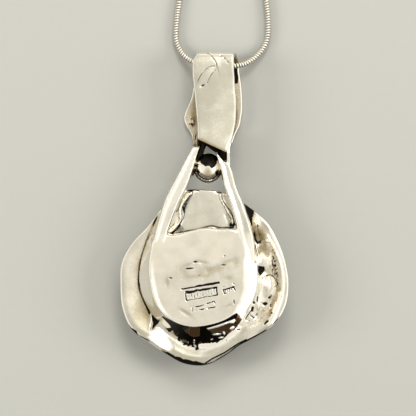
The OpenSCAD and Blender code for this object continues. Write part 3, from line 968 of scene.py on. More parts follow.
# Hollow beside the right arm, and the two places where the trough's silver has melted
HOLLOW = ((10.7, 9.8), (1.0, 1.3))
HOLLOW_DEEP = 0.35
MELTED = ((10.6, -5.4), (2.6, 2.6))
MELTED_BLACK = ((10.6, -5.2), (2.0, 2.2))
# How far the lumps' outlines bend
LUMP_BEND = 0.14


# Dark slope below the plate: its outline, the brown patches in it, the bright streak with the upper edge
# that its ledge rises to, and the bright flecks
# The slope's black and its brown patches are partly patina and partly painted dark reflection.
SLOPE = (
    (-8.1, -5.75), (-7.0, -6.25), (-6.0, -6.75), (-4.5, -7.35), (-3.0, -7.65), (-0.9, -7.5),
    (0.5, -7.45), (1.5, -7.2), (3.0, -6.6), (4.5, -6.0), (6.0, -5.2), (6.6, -5.8), (6.9, -7.0),
    (6.6, -8.5), (6.1, -8.0), (5.5, -8.5), (4.7, -8.9), (4.2, -9.5), (3.8, -10.2), (2.8, -10.3),
    (2.3, -11.0), (1.3, -11.3), (1.1, -10.8), (-0.9, -11.1), (-1.2, -12.3), (-2.3, -11.8), (-3.4, -11.5),
    (-4.3, -11.1), (-4.9, -10.5), (-5.7, -9.8), (-6.3, -9.1), (-7.2, -8.2), (-6.5, -8.0), (-6.7, -7.6),
    (-7.4, -6.85), (-8.1, -6.1),
)
SLOPE_BROWN_REFLECTION = (
    (((-4.6, -7.9), (-2.8, -7.85), (-1.0, -8.0), (-1.1, -9.6), (-2.2, -9.8), (-3.6, -9.1)), 0.35, 1.0),
    (((0.5, -8.4), (2.5, -7.9), (4.5, -7.4), (6.2, -7.5), (5.4, -8.1), (3.9, -8.9), (1.5, -9.0)), 0.45, 0.9),
    (((5.8, -7.5), (5.9, -6.3), (6.2, -5.7), (6.7, -6.2), (6.9, -7.2), (6.3, -7.7)), 0.25, 1.2),
    (((-6.3, -8.3), (-4.9, -9.0), (-3.5, -10.1), (-3.2, -11.0), (-4.6, -10.8), (-5.9, -9.6)), 0.35, 0.75),
)
STREAK = (
    (0.3, -8.2), (2.5, -7.55), (4.3, -6.9), (5.6, -6.4), (5.75, -6.7), (5.4, -7.2), (4.6, -7.15),
    (2.8, -7.75), (0.7, -8.3),
)
STREAK_SOFT = 0.12
STREAK_TOP = ((0.3, -8.1), (2.5, -7.45), (4.3, -6.8), (5.8, -6.3))
LEDGE_RISE = 0.75
BRIGHT_FLECKS = (
    ((2.25, -9.3), (0.75, 0.13), 3, 1.0), ((3.65, -9.2), (0.16, 0.25), 20, 1.0),
    ((3.1, -9.95), (0.50, 0.12), 5, 1.0), ((-2.05, -10.7), (0.14, 0.35), 5, 1.0),
    ((-1.9, -11.5), (0.30, 0.12), -40, 1.0), ((4.4, -8.9), (0.22, 0.13), 40, 1.0),
    ((1.3, -10.3), (0.25, 0.10), 20, 0.7), ((-3.2, -10.9), (0.12, 0.2), 0, 0.6),
    ((5.2, -8.15), (0.40, 0.18), 35, 1.0),
)


def slope_patina_and_reflection(x, y):
    """How black the slope below the plate is, partly patina and partly painted dark reflection, and where
    its bright flecks are.
    """
    along_edge, across_edge = 0.8 * x - 0.6 * y, 0.6 * x + 0.8 * y
    teeth = 0.55 * clouds_at(along_edge, 0.25 * across_edge, "slope teeth")
    teeth = teeth + 0.25 * clouds_at(x, y, "slope edge")
    lower = below(y, -7.9, 0.5)
    inside = patch(x, y, SLOPE, 0.14, teeth * lower)
    blotches = 0.35 * clouds_at(x, y, "slope blotches")
    brown = patches(x, y, SLOPE_BROWN_REFLECTION) * blend(1.0, 0.33, painted_brown_side(x))
    dark = inside * np.clip(1.2 - 1.3 * brown + blotches * lower, 0, 1)
    flecks = spots(x, y, BRIGHT_FLECKS) * inside
    return np.clip(dark - 1.5 * flecks - 1.5 * patch(x, y, STREAK, STREAK_SOFT), 0, 1), flecks


def painted_brown_side(x):
    """Where the slope's brown is painted into its colour as painted dark reflection, and not left to what it
    mirrors.
    """
    return below(x, -2.6, 0.6)


def facet_height(x, y):
    """Height of the tilted flat place."""
    start, low = FACET_START
    return low + FACET_SLOPE * (x * FACET_WAY[0] + y * FACET_WAY[1] - start)


def grains(x, y):
    return stroke(x, y, GRAINS, GRAINS_WIDE)


def black_marks(x, y):
    """The lines, pits and patches that are both cut in and black."""
    return lines(x, y, BLACK_LINES) + spots(x, y, BLACK_SPOTS) + patches(x, y, BLACK_PATCHES)


def sheet_marks(x, y):
    """Height of the sheet's marks over its plain form."""
    bent_x = x + LUMP_BEND * clouds_at(x, y, "lump bend x")
    bent_y = y + LUMP_BEND * clouds_at(x, y, "lump bend y")
    height = 0
    for at, size, turn, tall in LUMPS:
        height = height + (tall * cushion(bent_x, bent_y, at, size, turn)) ** BLENDING
    height = height ** (1 / BLENDING)
    wavy = 1 + 0.5 * clouds_at(x, y, "ridge waves")
    height = height + wavy * lines(x, y, WINDOW_RIDGES) + lines(x, y, SHEET_RIDGES)
    height = height - GROOVE * black_marks(x, y)
    height = height - SEAM_DEEP * stroke(x, y, SEAM, SEAM_WIDE) - HOLLOW_DEEP * mound(x, y, *HOLLOW)
    height = height + 0.26 * grains(x, y) * clouds_at(x, y, "grain bumps")
    height = height + 0.10 * mound(x, y, *MELTED) * clouds_at(x, y, "melted bumps")
    return height + 0.05 * clouds_at(x, y, "sheet waves")


def sheet_point(u, v):
    """Point of the sheet's closed shell: out along its back face, round the rim, and in along its front."""
    angle = u * 360
    radius = around(SHEET, S_RADIUS, angle)
    rim = 1 - RIM_ROUND / radius
    turn = np.clip((v - RIM_FROM) / RIM_SPAN, 0, 1) * np.pi
    back = MIDDLE_SHARE + (v - MIDDLE_TO) / BACK_SPAN * (rim - MIDDLE_SHARE)
    share = np.where(v < MIDDLE_TO, v / MIDDLE_TO * MIDDLE_SHARE, back)
    share = np.where(v > RIM_FROM, rim, share)
    share = np.where(v > RIM_TO, rim * (1 - (v - RIM_TO) / FRONT_SPAN), share)
    x, y = from_polar(angle, radius * share + RIM_ROUND * np.sin(turn))
    base = blend(sheet_base(angle, share), facet_height(x, y), patch(x, y, FACET, FACET_SOFT))
    marks = np.where(v <= RIM_TOP, sheet_marks(x, y) * below(share, 1, 0.03), 0)
    z = base + marks - SHEET_T / 2 * (1 - np.cos(turn))
    return np.stack([x, y, z], axis=1)


def seam_darkness(y):
    """How dark the seam is along its length."""
    return 0.35 + sum(bell(y - at, half) for at, half in SEAM_DARK)


def sheet_patina_and_shade(x, y, angle, inward):
    """How black the sheet's back is, from its lines and pits, with painted shadow under the plate's lip,
    painted shade beside the window's ridges, and painted dark reflection along its edge and on the slope.
    """
    dark = black_marks(x, y)
    dark = dark + seam_darkness(y) * stroke(x, y, SEAM, 0.09 + 0.08 * seam_darkness(y))
    dark = dark + 4.0 * grains(x, y) * np.clip(clouds_at(x, y, "grain gaps") - 0.14, 0, 0.28)
    dark = dark + 1.6 * mound(x, y, *MELTED_BLACK) * np.clip(clouds_at(x, y, "melted black") - 0.18, 0, 1)
    dark = dark + slope_patina_and_reflection(x, y)[0] * below(y, -8.0, 0.4)
    edge = on_profile(angle, EDGE_DARK) * (1 + 0.35 * clouds_at(x, y, "rim edge"))
    dark = dark + 0.95 * ease((edge - inward) / 0.08 + 0.5) * (edge > 0.03)
    return dark + 1.2 * stroke(x, y, INNER_EDGE, INNER_EDGE_WIDE)


def sheet_polish_and_highlight(x, y):
    """How brightly polished the sheet's back is: partly real polish, partly painted highlight."""
    bright = spots(x, y, POLISHED_HIGHLIGHT_SPOTS) + lines(x, y, POLISHED_HIGHLIGHT_LINES) + patches(x, y, POLISHED_HIGHLIGHT_PATCHES)
    bright = bright + 2.5 * lines(x, y, WINDOW_RIDGES) + 5 * lines(x, y, SHEET_RIDGES)
    return np.clip(bright, 0, 1)


def sheet_grime(x, y):
    """How tan the sheet's back is."""
    tan = spots(x, y, TAN_SPOTS) + lines(x, y, TAN_LINES) + 0.45 * grains(x, y)
    return tan * (1 + 0.5 * clouds_at(x, y, "sheet tan"))


def sheet_dullness(x, y, inward):
    """How satin the sheet's back is: more so on its left, low down and along its right rim."""
    left = below(x, -8.0, 1.5)
    dull = SHEET_SATIN + 0.35 * left * above(y, -9.5, 3) + 0.3 * mound(x, y, *WINDOW_DULL)
    dull = dull + LOWER_SATIN * below(y, -6.5, 2.0) * below(x, 10, 4) + 0.35 * mound(x, y, *TROUGH_DULL)
    dull = dull + 0.80 * above(x, 9, 2) * below(inward, 1.0, 0.2)
    return dull - 0.30 * left * above(y, 2.0, 3) + 0.4 * mound(x, y, *SEAM_END_DULL)


def make_sheet():
    skin = grid_skin("silver_sheet", *SHEET_GRID, sheet_point)
    x, y = skin.x, skin.y
    normals = skin.normals()
    up = ease(normals[:, 2] * 3)
    angle, r = polar(x, y)
    inward = around(SHEET, S_RADIUS, angle) - r
    # Darker in the sheet's hollows, by how far each point lies below its surroundings.
    hollow = np.clip(skin.hollows(4) / 0.06, 0, 1) * above(x, 7, 2)
    dull = sheet_dullness(x, y, inward)
    rough = 1 - sheet_polish_and_highlight(x, y)
    satin = np.clip(dull, 0, 1) * rough * up * above(inward, 0.25, 0.2)
    patina_and_shade = (sheet_patina_and_shade(x, y, angle, inward) + 0.25 * hollow * rough) * (normals[:, 2] > -0.3)
    silver_piece("silver_sheet", skin, satin=satin, grime_and_shade=sheet_grime(x, y) * rough * up, patina_and_shade=patina_and_shade)


make_sheet()


# Back frame: the dish with its plate, the two arms, the post and the webs at the neck, as one skin.
# Dish, a row every 15 degrees: foot radius, width of the skirt, height of the foot over the sheet,
# how far the skirt is a shoulder over an upright wall
DISH = (
    (10.0, 2.7, -0.3, 1.0), (10.5, 3.0, -0.3, 1.0), (11.3, 2.8, -0.3, 1.0), (12.7, 2.1, 0.2, 1.0),
    (12.2, 0.5, 1.9, 1.0), (11.1, 0.4, 1.9, 1.0), (10.9, 0.4, 1.9, 1.0), (10.7, 0.4, 1.9, 1.0),
    (11.1, 0.5, 1.9, 1.0), (13.9, 1.0, 0.7, 0.0), (13.4, 1.6, 0.6, 0.0), (12.9, 2.05, 0.7, 0.0),
    (12.5, 2.3, 0.7, 0.0), (11.9, 1.95, 0.7, 0.0), (11.5, 1.75, 0.6, 0.0), (11.1, 1.9, 0.2, 0.0),
    (11.4, 2.8, -0.3, 0.0), (11.8, 3.8, -0.2, 0.0), (11.3, 3.8, 0.1, 0.0), (11.1, 3.8, 0.3, 0.0),
    (10.3, 2.9, 0.5, 0.1), (9.9, 2.4, 0.0, 0.7), (9.4, 2.3, -0.3, 1.0), (9.7, 2.5, -0.3, 1.0),
)
D_RADIUS, D_SKIRT, D_LIFT, D_SHOULDER = range(4)
DISH_WALL = 0.9
DISH_GRID = (360, 120)
# The dish's rows: shares of the way round it for the plate, the skirt and the underside
PLATE_TO = 0.45
SKIRT_SPAN = 0.25
SKIRT_TO = 0.7
UNDER_SPAN = 0.3
PLATE_Z = 7.75
PLATE_T = 1.1
# Raised rim along the plate's left side: middle and half of its angles, height
RIM_MIDDLE = 190.0
RIM_HALF = 26.0
RIM_UP = 0.30
RIM_INSET = 0.15
RIM_WIDE = 0.40
# How far a shoulder falls before its upright wall, and how it bends
SHOULDER_DROP = 0.5
SHOULDER_BEND = 1.4
FRAME_SKIN = 0.15

# Arms, post and webs, from the bail's leaf down: y, outer x, inner x, top height, bottom height
LEFT_ARM = (
    (28.8, -2.3, -0.8, 3.0, 0.6), (26.7, -2.4, -0.9, 3.4, 0.6), (26.2, -2.4, -0.9, 6.5, 0.8),
    (24.6, -3.3, -1.4, 6.7, 1.6), (23.2, -4.1, -1.8, 6.9, 2.6), (20.3, -5.6, -2.7, 7.3, 3.8),
    (18.1, -6.8, -3.6, 7.5, 4.3), (15.9, -7.8, -4.7, 7.7, 4.4), (13.0, -8.7, -5.9, 7.9, 4.4),
    (10.1, -9.5, -7.0, 7.95, 4.3), (8.2, -9.9, -7.6, 7.82, 4.2), (6.4, -10.1, -8.3, 7.4, 4.0),
    (3.4, -10.3, -9.2, 6.4, 4.0),
)
RIGHT_ARM = (
    (25.3, 2.3, 2.05, 6.2, 4.0), (24.7, 2.65, 2.15, 6.6, 3.8), (24.2, 3.0, 2.3, 6.8, 3.6),
    (23.7, 3.4, 2.4, 6.9, 3.5), (23.2, 4.1, 2.6, 7.0, 3.4), (22.6, 4.85, 2.8, 7.1, 3.4),
    (21.2, 5.4, 3.05, 7.2, 3.6), (19.2, 5.9, 3.4, 7.3, 4.1), (17.5, 6.5, 4.0, 7.5, 4.3),
    (15.9, 7.2, 4.5, 7.7, 4.4), (12.9, 8.25, 5.4, 7.9, 4.2), (10.4, 9.0, 6.0, 7.95, 4.0),
    (8.2, 9.4, 6.6, 7.82, 4.1), (6.0, 9.6, 7.2, 7.3, 4.1), (3.0, 9.6, 7.6, 6.4, 4.1),
)
RIGHT_POST = (
    (28.6, 5.2, 4.2, 6.2, 0.6), (27.0, 5.0, 4.15, 6.5, 0.6), (25.5, 4.75, 4.1, 6.9, 0.8),
    (23.6, 4.8, 4.1, 7.0, 2.0), (22.4, 4.85, 3.9, 6.9, 3.4),
)
LEFT_WEB = (
    (27.8, -1.5, 0.3, 4.4, 2.0), (26.9, -1.5, 0.25, 4.6, 2.6), (26.1, -1.4, 0.1, 4.7, 3.0),
    (25.6, -1.3, -0.15, 4.8, 3.2), (24.9, -1.5, -0.3, 4.9, 3.2), (23.8, -2.2, -0.8, 5.2, 3.3),
    (22.2, -2.8, -1.5, 5.4, 3.4), (20.7, -3.2, -2.2, 5.2, 3.6),
)
RIGHT_WEB = (
    (26.8, 0.2, 4.3, 5.0, 3.0), (26.3, 0.5, 4.3, 5.1, 3.0), (25.9, 1.0, 4.3, 5.2, 3.2),
    (25.5, 1.6, 4.35, 5.3, 3.2), (25.1, 2.1, 4.4, 5.3, 3.2), (24.4, 2.6, 4.4, 5.4, 3.2),
    (23.6, 3.2, 4.5, 5.4, 3.2), (22.6, 3.6, 4.5, 5.2, 3.6),
)
# Grid of an arm, and the shares of its length at each end where its rows stand still and where it closes
ARM_GRID = (68, 100)
ARM_END = 0.02
ARM_CLOSING = 0.001
# Section of an arm: share of its half width, drop below its top; then the walls down to its bottom
ARM_SECTION = (
    (1.0, 1.05), (0.97, 0.62), (0.88, 0.28), (0.74, 0.06), (0.60, 0.0), (0.40, 0.09), (0.18, 0.16),
    (0.0, 0.18), (-0.18, 0.16), (-0.40, 0.09), (-0.60, 0.0), (-0.74, 0.06), (-0.88, 0.28), (-0.97, 0.62),
    (-1.0, 1.05),
)


def dish_foot(angle):
    share = around(DISH, D_RADIUS, angle) / around(SHEET, S_RADIUS, angle)
    return sheet_base(angle, share) + around(DISH, D_LIFT, angle)


def dish_point(u, v):
    """Point of the dish: out over the plate, down the skirt to its foot, and back underneath."""
    angle = u * 360
    foot_r, skirt = around(DISH, D_RADIUS, angle), around(DISH, D_SKIRT, angle)
    foot_z = dish_foot(angle)
    shoulder = np.clip(around(DISH, D_SHOULDER, angle), 0, 1)
    edge_r = foot_r - skirt
    t = np.clip((v - PLATE_TO) / SKIRT_SPAN, 0, 1)
    stepped = np.where(t < 1, SHOULDER_DROP * t ** SHOULDER_BEND, 1.0)
    skirt_z = PLATE_Z - (PLATE_Z - foot_z) * blend(t, stepped, shoulder)
    under_z = PLATE_Z - PLATE_T + 0 * foot_z
    knots_r = (foot_r, foot_r - DISH_WALL, edge_r - DISH_WALL, edge_r - 2 * DISH_WALL, 0 * foot_r)
    knots_z = (foot_z, foot_z, under_z, under_z, under_z)
    inner_r, inner_z = foot_r, foot_z
    place = np.clip((v - SKIRT_TO) / UNDER_SPAN, 0, 1) * (len(knots_r) - 1)
    for k in range(len(knots_r) - 1):
        step = np.clip(place - k, 0, 1)
        inner_r = np.where(place > k, blend(knots_r[k], knots_r[k + 1], step), inner_r)
        inner_z = np.where(place > k, blend(knots_z[k], knots_z[k + 1], step), inner_z)
    r = np.where(v <= PLATE_TO, edge_r * v / PLATE_TO, np.where(v <= SKIRT_TO, edge_r + skirt * t, inner_r))
    z = np.where(v <= PLATE_TO, PLATE_Z, np.where(v <= SKIRT_TO, skirt_z, inner_z))
    rim = bell(r - edge_r + RIM_INSET, RIM_WIDE) * bell(angle_from(angle, RIM_MIDDLE), RIM_HALF)
    z = z + RIM_UP * rim * (v <= SKIRT_TO)
    return np.stack([*from_polar(angle, r), z], axis=1)


def open_share(v, end):
    """Share of the way along a loft whose ends close within a few rows."""
    return np.clip((v - end) / (1 - 2 * end), 0, 1)


def arm_point(table):
    """Points of an arm with closed ends, lofted through a table: up one wall, over, down and back."""
    over = len(ARM_SECTION) - 1
    sides = over + 3

    def place(u, v):
        y, outer, inner, top, bottom = rows_at(table, open_share(v, ARM_END) * (len(table) - 1)).T
        k = u * sides
        share, drop = rows_at(ARM_SECTION, np.clip(k - 1, 0, over)).T
        share = np.where(k > sides - 1, blend(-1, 1, k - sides + 1), share)
        wall = np.where(k < 1, 1 - k, np.clip(k - 1 - over, 0, 1))
        z = blend(top - drop, bottom, wall)
        middle, half = (outer + inner) / 2, np.abs(outer - inner) / 2
        closing = np.where((v < ARM_CLOSING) | (v > 1 - ARM_CLOSING), 1.0, 0.0)
        x = blend(middle + share * half, middle, closing)
        z = blend(z, (top + bottom) / 2, closing)
        return np.stack([x, y, z], axis=1)

    return place


# Punch marks on the plate: the long edges of the large frame, and the top of the small one
PUNCH_TOP = ((-3.7, -1.6), (2.2, -0.5))
PUNCH_FOOT = ((-3.5, -2.9), (2.3, -1.8))
SMALL_TOP = ((3.4, -0.9), (5.4, -0.3))
# Strokes of the punch marks: start, end, width, strength; then the faint ones
PUNCH_BARS = (
    ((-4.4, -0.75), (-1.6, -0.25), 0.20, 0.95), ((-1.7, -0.2), (0.0, 0.05), 0.24, 1.2),
    ((0.2, 0.1), (2.6, 0.5), 0.24, 1.3), ((-3.6, -1.3), (-1.6, -1.0), 0.24, 1.2),
    ((-1.5, -0.95), (0.4, -0.7), 0.24, 1.2), ((0.4, -0.65), (2.2, -0.35), 0.21, 1.1),
    (*PUNCH_TOP, 0.13, 0.9), (*PUNCH_FOOT, 0.13, 0.85), (PUNCH_TOP[0], PUNCH_FOOT[0], 0.15, 0.95),
    (PUNCH_TOP[1], PUNCH_FOOT[1], 0.16, 0.9), (*SMALL_TOP, 0.18, 1.1),
    ((3.4, -0.9), (3.65, -1.6), 0.15, 1.0), ((5.2, -0.25), (5.7, -0.9), 0.16, 1.0),
    ((3.65, -1.6), (4.0, -1.6), 0.12, 0.8), ((5.3, 0.4), (5.6, 0.2), 0.16, 0.9),
)
FAINT_BARS = (
    ((-2.5, -4.3), (-1.0, -3.9)), ((-1.0, -3.9), (1.8, -3.0)), ((1.75, -3.0), (1.9, -3.4)),
    ((5.4, -2.8), (6.0, -2.7)), ((5.5, -2.8), (5.55, -3.4)), ((3.2, -0.25), (4.1, 0.05)),
    ((-2.45, -4.25), (-2.35, -5.0)), ((1.6, -4.2), (1.8, -4.25)), ((-1.9, -4.75), (-0.2, -4.45)),
    ((0.5, -4.35), (1.9, -4.1)),
)
STROKE_BEND = 0.07
FAINT_WIDE = 0.15
FAINT_STRENGTH = 0.95
# Short hatch lines that fill each frame: their number, width, strength
HATCH = (11, 0.09, 0.75)
SMALL_HATCH = (5, 0.10, 0.9)
# Box round the punch marks, where the faces are halved
PUNCHES_LOW = (-5.0, -5.4, 7.3)
PUNCHES_HIGH = (6.3, 1.2)
# Duller stretches along the arms: points, width, dullness
ARM_DULL = (
    (((3.0, 24.4), (4.3, 21.2), (5.1, 18.0), (6.5, 14.0), (7.8, 10.5)), 0.85, 0.58),
    (((-1.3, 25.5), (-2.6, 22.5), (-3.8, 20.0), (-5.1, 17.0), (-6.5, 13.5), (-7.9, 10.0)), 0.45, 0.27),
)
# Pits in the plate, and the shallow dents whose duller, darker tone is painted dark reflection: middle, half
# sizes, turn, strength
PLATE_PITS = (
    ((-1.85, 4.45), (0.36, 0.16), 5, 1.4), ((-2.9, 3.2), (0.75, 0.15), 5, 1.2),
    ((3.5, 3.85), (0.48, 0.13), 0, 1.1), ((3.7, 5.6), (0.15, 0.15), 0, 1.2),
    ((4.75, 5.9), (0.10, 0.12), 0, 0.6), ((-6.5, 1.4), (0.32, 0.16), -15, 1.0),
    ((-1.1, 1.8), (0.18, 0.14), 0, 0.6), ((-6.2, -1.2), (0.08, 0.08), 0, 0.8),
)
PLATE_DENTS_AND_REFLECTION = (
    ((-4.1, 2.5), (1.2, 1.4), 15, 0.40), ((-0.7, 4.4), (1.2, 0.30), -10, 0.45),
    ((1.3, 2.8), (1.9, 0.6), 16, 0.75), ((5.6, 4.5), (0.7, 1.0), -10, 0.60),
    ((4.2, 4.4), (1.0, 0.4), 15, 0.35), ((-7.2, 0.6), (0.35, 0.9), 0, 0.45),
    ((4.4, 1.4), (0.7, 0.6), 0, 0.40), ((-3.7, -5.2), (1.3, 0.4), -32, 0.60),
    ((-1.5, 1.6), (2.2, 0.4), 5, 0.30), ((-3.2, 3.9), (0.9, 0.35), 15, 0.40),
    ((4.5, -3.8), (1.4, 0.3), 20, 0.25),
)
# Mottled patch of painted dark reflection on the plate, with small bumps: middle, half sizes, turn
PLATE_MOTTLED_REFLECTION = ((1.0, 3.1), (4.8, 1.9), 8)
DENT_DEEP = 0.13
PUNCH_DEEP = 0.07
PIT_DEEP = 0.08
# Places where the frame's looks change over: start, softness
PLATE_ABOVE = (7.45, 0.2)
SLOPE_BELOW = (7.72, 0.1)
WEBS_BELOW = (5.75, 0.3)
WEBS_FROM_Y = (19.5, 1.0)
STUB_BELOW = (4.6, 0.3)
STUB_FROM_Y = (25.8, 0.3)
STUB_LEFT_OF = (-1.0, 0.5)
# Left edge of the black webs: its x, the y where it starts to slant, its slant, softness
WEB_EDGE = (-1.55, 25.5, 0.4, 0.15)


def along(bar, share):
    (ax, ay), (bx, by) = bar
    return blend(ax, bx, share), blend(ay, by, share)


def punch_marks(x, y):
    """Depth of the punch marks, 1 in the middle of a stroke."""
    bent_x = x + STROKE_BEND * clouds_at(x, y, "stroke bend x")
    bent_y = y + STROKE_BEND * clouds_at(x, y, "stroke bend y")
    x, y = bent_x, bent_y
    strokes = [((start, end), width, strength) for start, end, width, strength in PUNCH_BARS]
    count, width, strength = HATCH
    for k in range(1, count):
        gap = along(PUNCH_TOP, k / count), along(PUNCH_FOOT, k / count)
        tick = along(gap, 0.22 + 0.15 * (k % 2)), along(gap, 0.80 - 0.12 * (k % 3))
        strokes.append((tick, width, strength))
    count, width, strength = SMALL_HATCH
    for k in range(1, count):
        top = along(SMALL_TOP, k / count)
        strokes.append(((top, (top[0], top[1] - 0.4 - 0.25 * (k % 2))), width, strength))
    patchy = np.clip(0.55 + 1.2 * clouds_at(x, y, "faint strokes"), 0, 1)
    strokes += [(bar, FAINT_WIDE, FAINT_STRENGTH * patchy) for bar in FAINT_BARS]
    deep = 0.0
    for bar, width, strength in strokes:
        deep = np.maximum(deep, strength * stroke(x, y, bar, width))
    return deep * (1.02 + 0.5 * clouds_at(x, y, "stroke depth"))


def refine(mesh, inside):
    """Halves the faces whose corners all lie inside a region."""
    bm = bmesh.new()
    bm.from_mesh(mesh)
    edges = [e for e in bm.edges if all(inside(v.co) for v in e.verts)]
    bmesh.ops.subdivide_edges(bm, edges=edges, cuts=1, use_grid_fill=True)
    bm.to_mesh(mesh)
    bm.free()


def on_punches(co):
    (left, low, least_z), (right, high) = PUNCHES_LOW, PUNCHES_HIGH
    return left < co.x < right and low < co.y < high and co.z > least_z


def slope_ledge(x, y):
    """Height of the level ledge that makes the bright streak."""
    return LEDGE_RISE * np.clip(-from_line(x, y, STREAK_TOP), 0, 1) * patch(x, y, STREAK, STREAK_SOFT)


def on_webs(y, z):
    """1 on the webs at the neck, which lie lower than the arms."""
    return below(z, *WEBS_BELOW) * above(y, *WEBS_FROM_Y)


def neck_black(x, y, z):
    """Black webs between the arms and the ball, mottled with gold lower down."""
    edge_x, slants_from, slant, soft = WEB_EDGE
    web = on_webs(y, z) * ease((x - edge_x + np.clip(slants_from - y, 0, None) * slant) / soft)
    mottled = 0.5 + 1.3 * clouds_at(x, y, "web gold")
    return web * blend(np.clip(mottled, 0, 1), 1.0, above(y, 23.3, 0.6))


def make_frame():
    parts = [grid_shape(*DISH_GRID, dish_point)]
    for table in (LEFT_ARM, RIGHT_ARM, RIGHT_POST, LEFT_WEB, RIGHT_WEB):
        parts.append(grid_shape(*ARM_GRID, arm_point(table)))
    mesh = voxel_skin(joined(parts), FRAME_SKIN, "silver_frame")
    rough = Skin(mesh)
    rough.smooth(7)
    rough.smooth(2, share=0.4, keep_size=False)
    rough.store()
    refine(mesh, on_punches)
    skin = Skin(mesh)
    x, y, z = skin.at.T.copy()
    normals = skin.normals()
    up = ease(normals[:, 2] * 2 - 0.9)
    plate = up * above(z, *PLATE_ABOVE)
    dents = 0.075 * clouds(skin.at, "plate dents")
    punches, pits = punch_marks(x, y) * plate, spots(x, y, PLATE_PITS) * plate
    # The satin and tan of the dents and of the mottled patch are painted dark reflection.
    dull = spots(x, y, PLATE_DENTS_AND_REFLECTION)
    mottled_reflection = mound(x, y, *PLATE_MOTTLED_REFLECTION)
    dull = dull + 0.6 * mottled_reflection * np.clip(clouds_at(x, y, "mottled reflection satin") + 0.1, 0, 1)
    slope_dark, flecks = slope_patina_and_reflection(x, y)
    outside = below(z, *SLOPE_BELOW) * above(normals[:, 2], -0.1, 0.2)
    rise = plate * (dents - DENT_DEEP * dull + 0.05 * mottled_reflection * clouds_at(x, y, "worn bumps"))
    skin.at[:, 2] += rise - PUNCH_DEEP * punches - PIT_DEEP * pits
    skin.at[:, 2] += outside * (0.20 * flecks + slope_ledge(x, y))
    # The slope's black, and the brown grime on its left, are partly patina and partly painted dark
    # reflection.
    patina_and_shade = 1.1 * punches + 1.6 * pits + slope_dark * outside * (y < -4) + neck_black(x, y, z)
    satin = plate * (0.08 + 2.3 * dull + 0.26 * below(y, 3.2, 2) + 0.30 * clouds(skin.at, "plate satin"))
    satin = satin + up * lines(x, y, ARM_DULL)
    stub = below(z, *STUB_BELOW) * above(y, *STUB_FROM_Y) * below(x, *STUB_LEFT_OF)
    grime_and_shade = 0.9 * patches(x, y, SLOPE_BROWN_REFLECTION) * painted_brown_side(x) * outside + 0.6 * stub + 0.42 * dull * plate
    grime_and_shade = grime_and_shade + 0.7 * on_webs(y, z) * below(y, 25.0, 0.5)
    silver_piece("silver_frame", skin, satin=satin + 0.5 * stub, grime_and_shade=grime_and_shade, patina_and_shade=patina_and_shade)


make_frame()


# Bail, from the leaf's lower end, over the fold, to the strip's slanting end:
# y, height of the middle, left x, right x, slant of the row, curl of the edges
BAIL = (
    (26.9, 0.70, -2.4, 5.2, 0.0, 0.1), (28.6, 0.58, -2.6, 5.8, 0.0, 0.1),
    (30.3, 0.52, -3.6, 6.6, 0.0, 0.1), (31.8, 0.52, -4.0, 6.9, 0.0, 0.15),
    (33.3, 0.52, -3.6, 7.1, 0.0, 0.15), (35.4, 0.52, -2.7, 7.1, 0.0, 0.1),
    (38.0, 0.52, -2.2, 6.9, 0.0, 0.1), (40.2, 0.53, -2.1, 6.6, 0.0, 0.1),
    (42.2, 0.65, -2.0, 6.4, 0.0, 0.0), (43.4, 1.25, -1.8, 6.1, 0.0, 0.0),
    (43.8, 2.30, -1.4, 5.8, 0.0, 0.0), (43.85, 3.60, -1.2, 5.5, 0.0, 0.0),
    (43.8, 4.80, -1.3, 5.45, 0.0, 0.0), (43.45, 5.60, -1.75, 5.5, 0.0, 0.0),
    (42.4, 5.90, -2.3, 5.5, 0.0, 0.0), (40.7, 5.97, -2.4, 5.5, 0.0, 0.0),
    (39.2, 6.00, -2.3, 5.6, 0.0, 0.1), (37.5, 6.00, -2.1, 5.7, 0.0, 0.1),
    (35.4, 6.05, -1.9, 5.9, 0.0, 0.1), (33.2, 6.10, -1.7, 5.9, 0.0, 0.1),
    (31.0, 6.20, -1.5, 5.8, -0.3, 0.1), (29.0, 6.35, -1.4, 5.3, -1.0, 0.1),
    (27.6, 6.45, -1.4, 4.7, -1.9, 0.1), (26.4, 6.50, -1.4, 4.2, -2.6, 0.1),
)
B_Y, B_Z, B_LEFT, B_RIGHT, B_SLANT, B_CURL = range(6)
# The leaf's rows, and the fold's last row before the straight strip
LEAF_ROWS = 10
FOLD_ROW = 11
STRIP_T = 1.0
STRIP_ROUND = 0.32
# Steps across a flat side of the strip, and round half a corner
STRIP_WIDE = 84
STRIP_CORNER = 6
BAIL_ROWS = 300
# Shares of the bail's length at each end: where its rows stand still, and where the strip closes
BAIL_END = 0.01
CLOSING = 0.004
# How many rows of the table ahead and behind give the strip's way
LOOK = 0.25

# Marks on the strip: the outline of the raised leaf shape, the fold beside it, and small pits
RAISED_LEAF = ((0.3, 39.7), (2.0, 0.8), 52)
LEAF_UPPER = ((-1.5, 38.4), (-0.8, 39.8), (0.1, 40.85), (1.0, 41.45), (2.0, 41.5))
LEAF_LOWER = ((0.4, 38.3), (1.0, 39.6), (2.0, 40.8))
STRIP_FOLD = ((0.5, 44.0), (1.05, 43.7), (1.6, 43.0), (2.0, 42.4), (2.25, 41.6))
STRIP_PITS = (
    ((-0.42, 37.85), (0.38, 0.15), 24, 1.1), ((3.1, 43.55), (0.32, 0.10), -8, 0.9),
    ((3.7, 43.0), (0.22, 0.10), -30, 0.7), ((4.3, 42.3), (0.26, 0.12), -40, 0.7),
    ((1.4, 42.9), (0.20, 0.07), -30, 0.4),
)
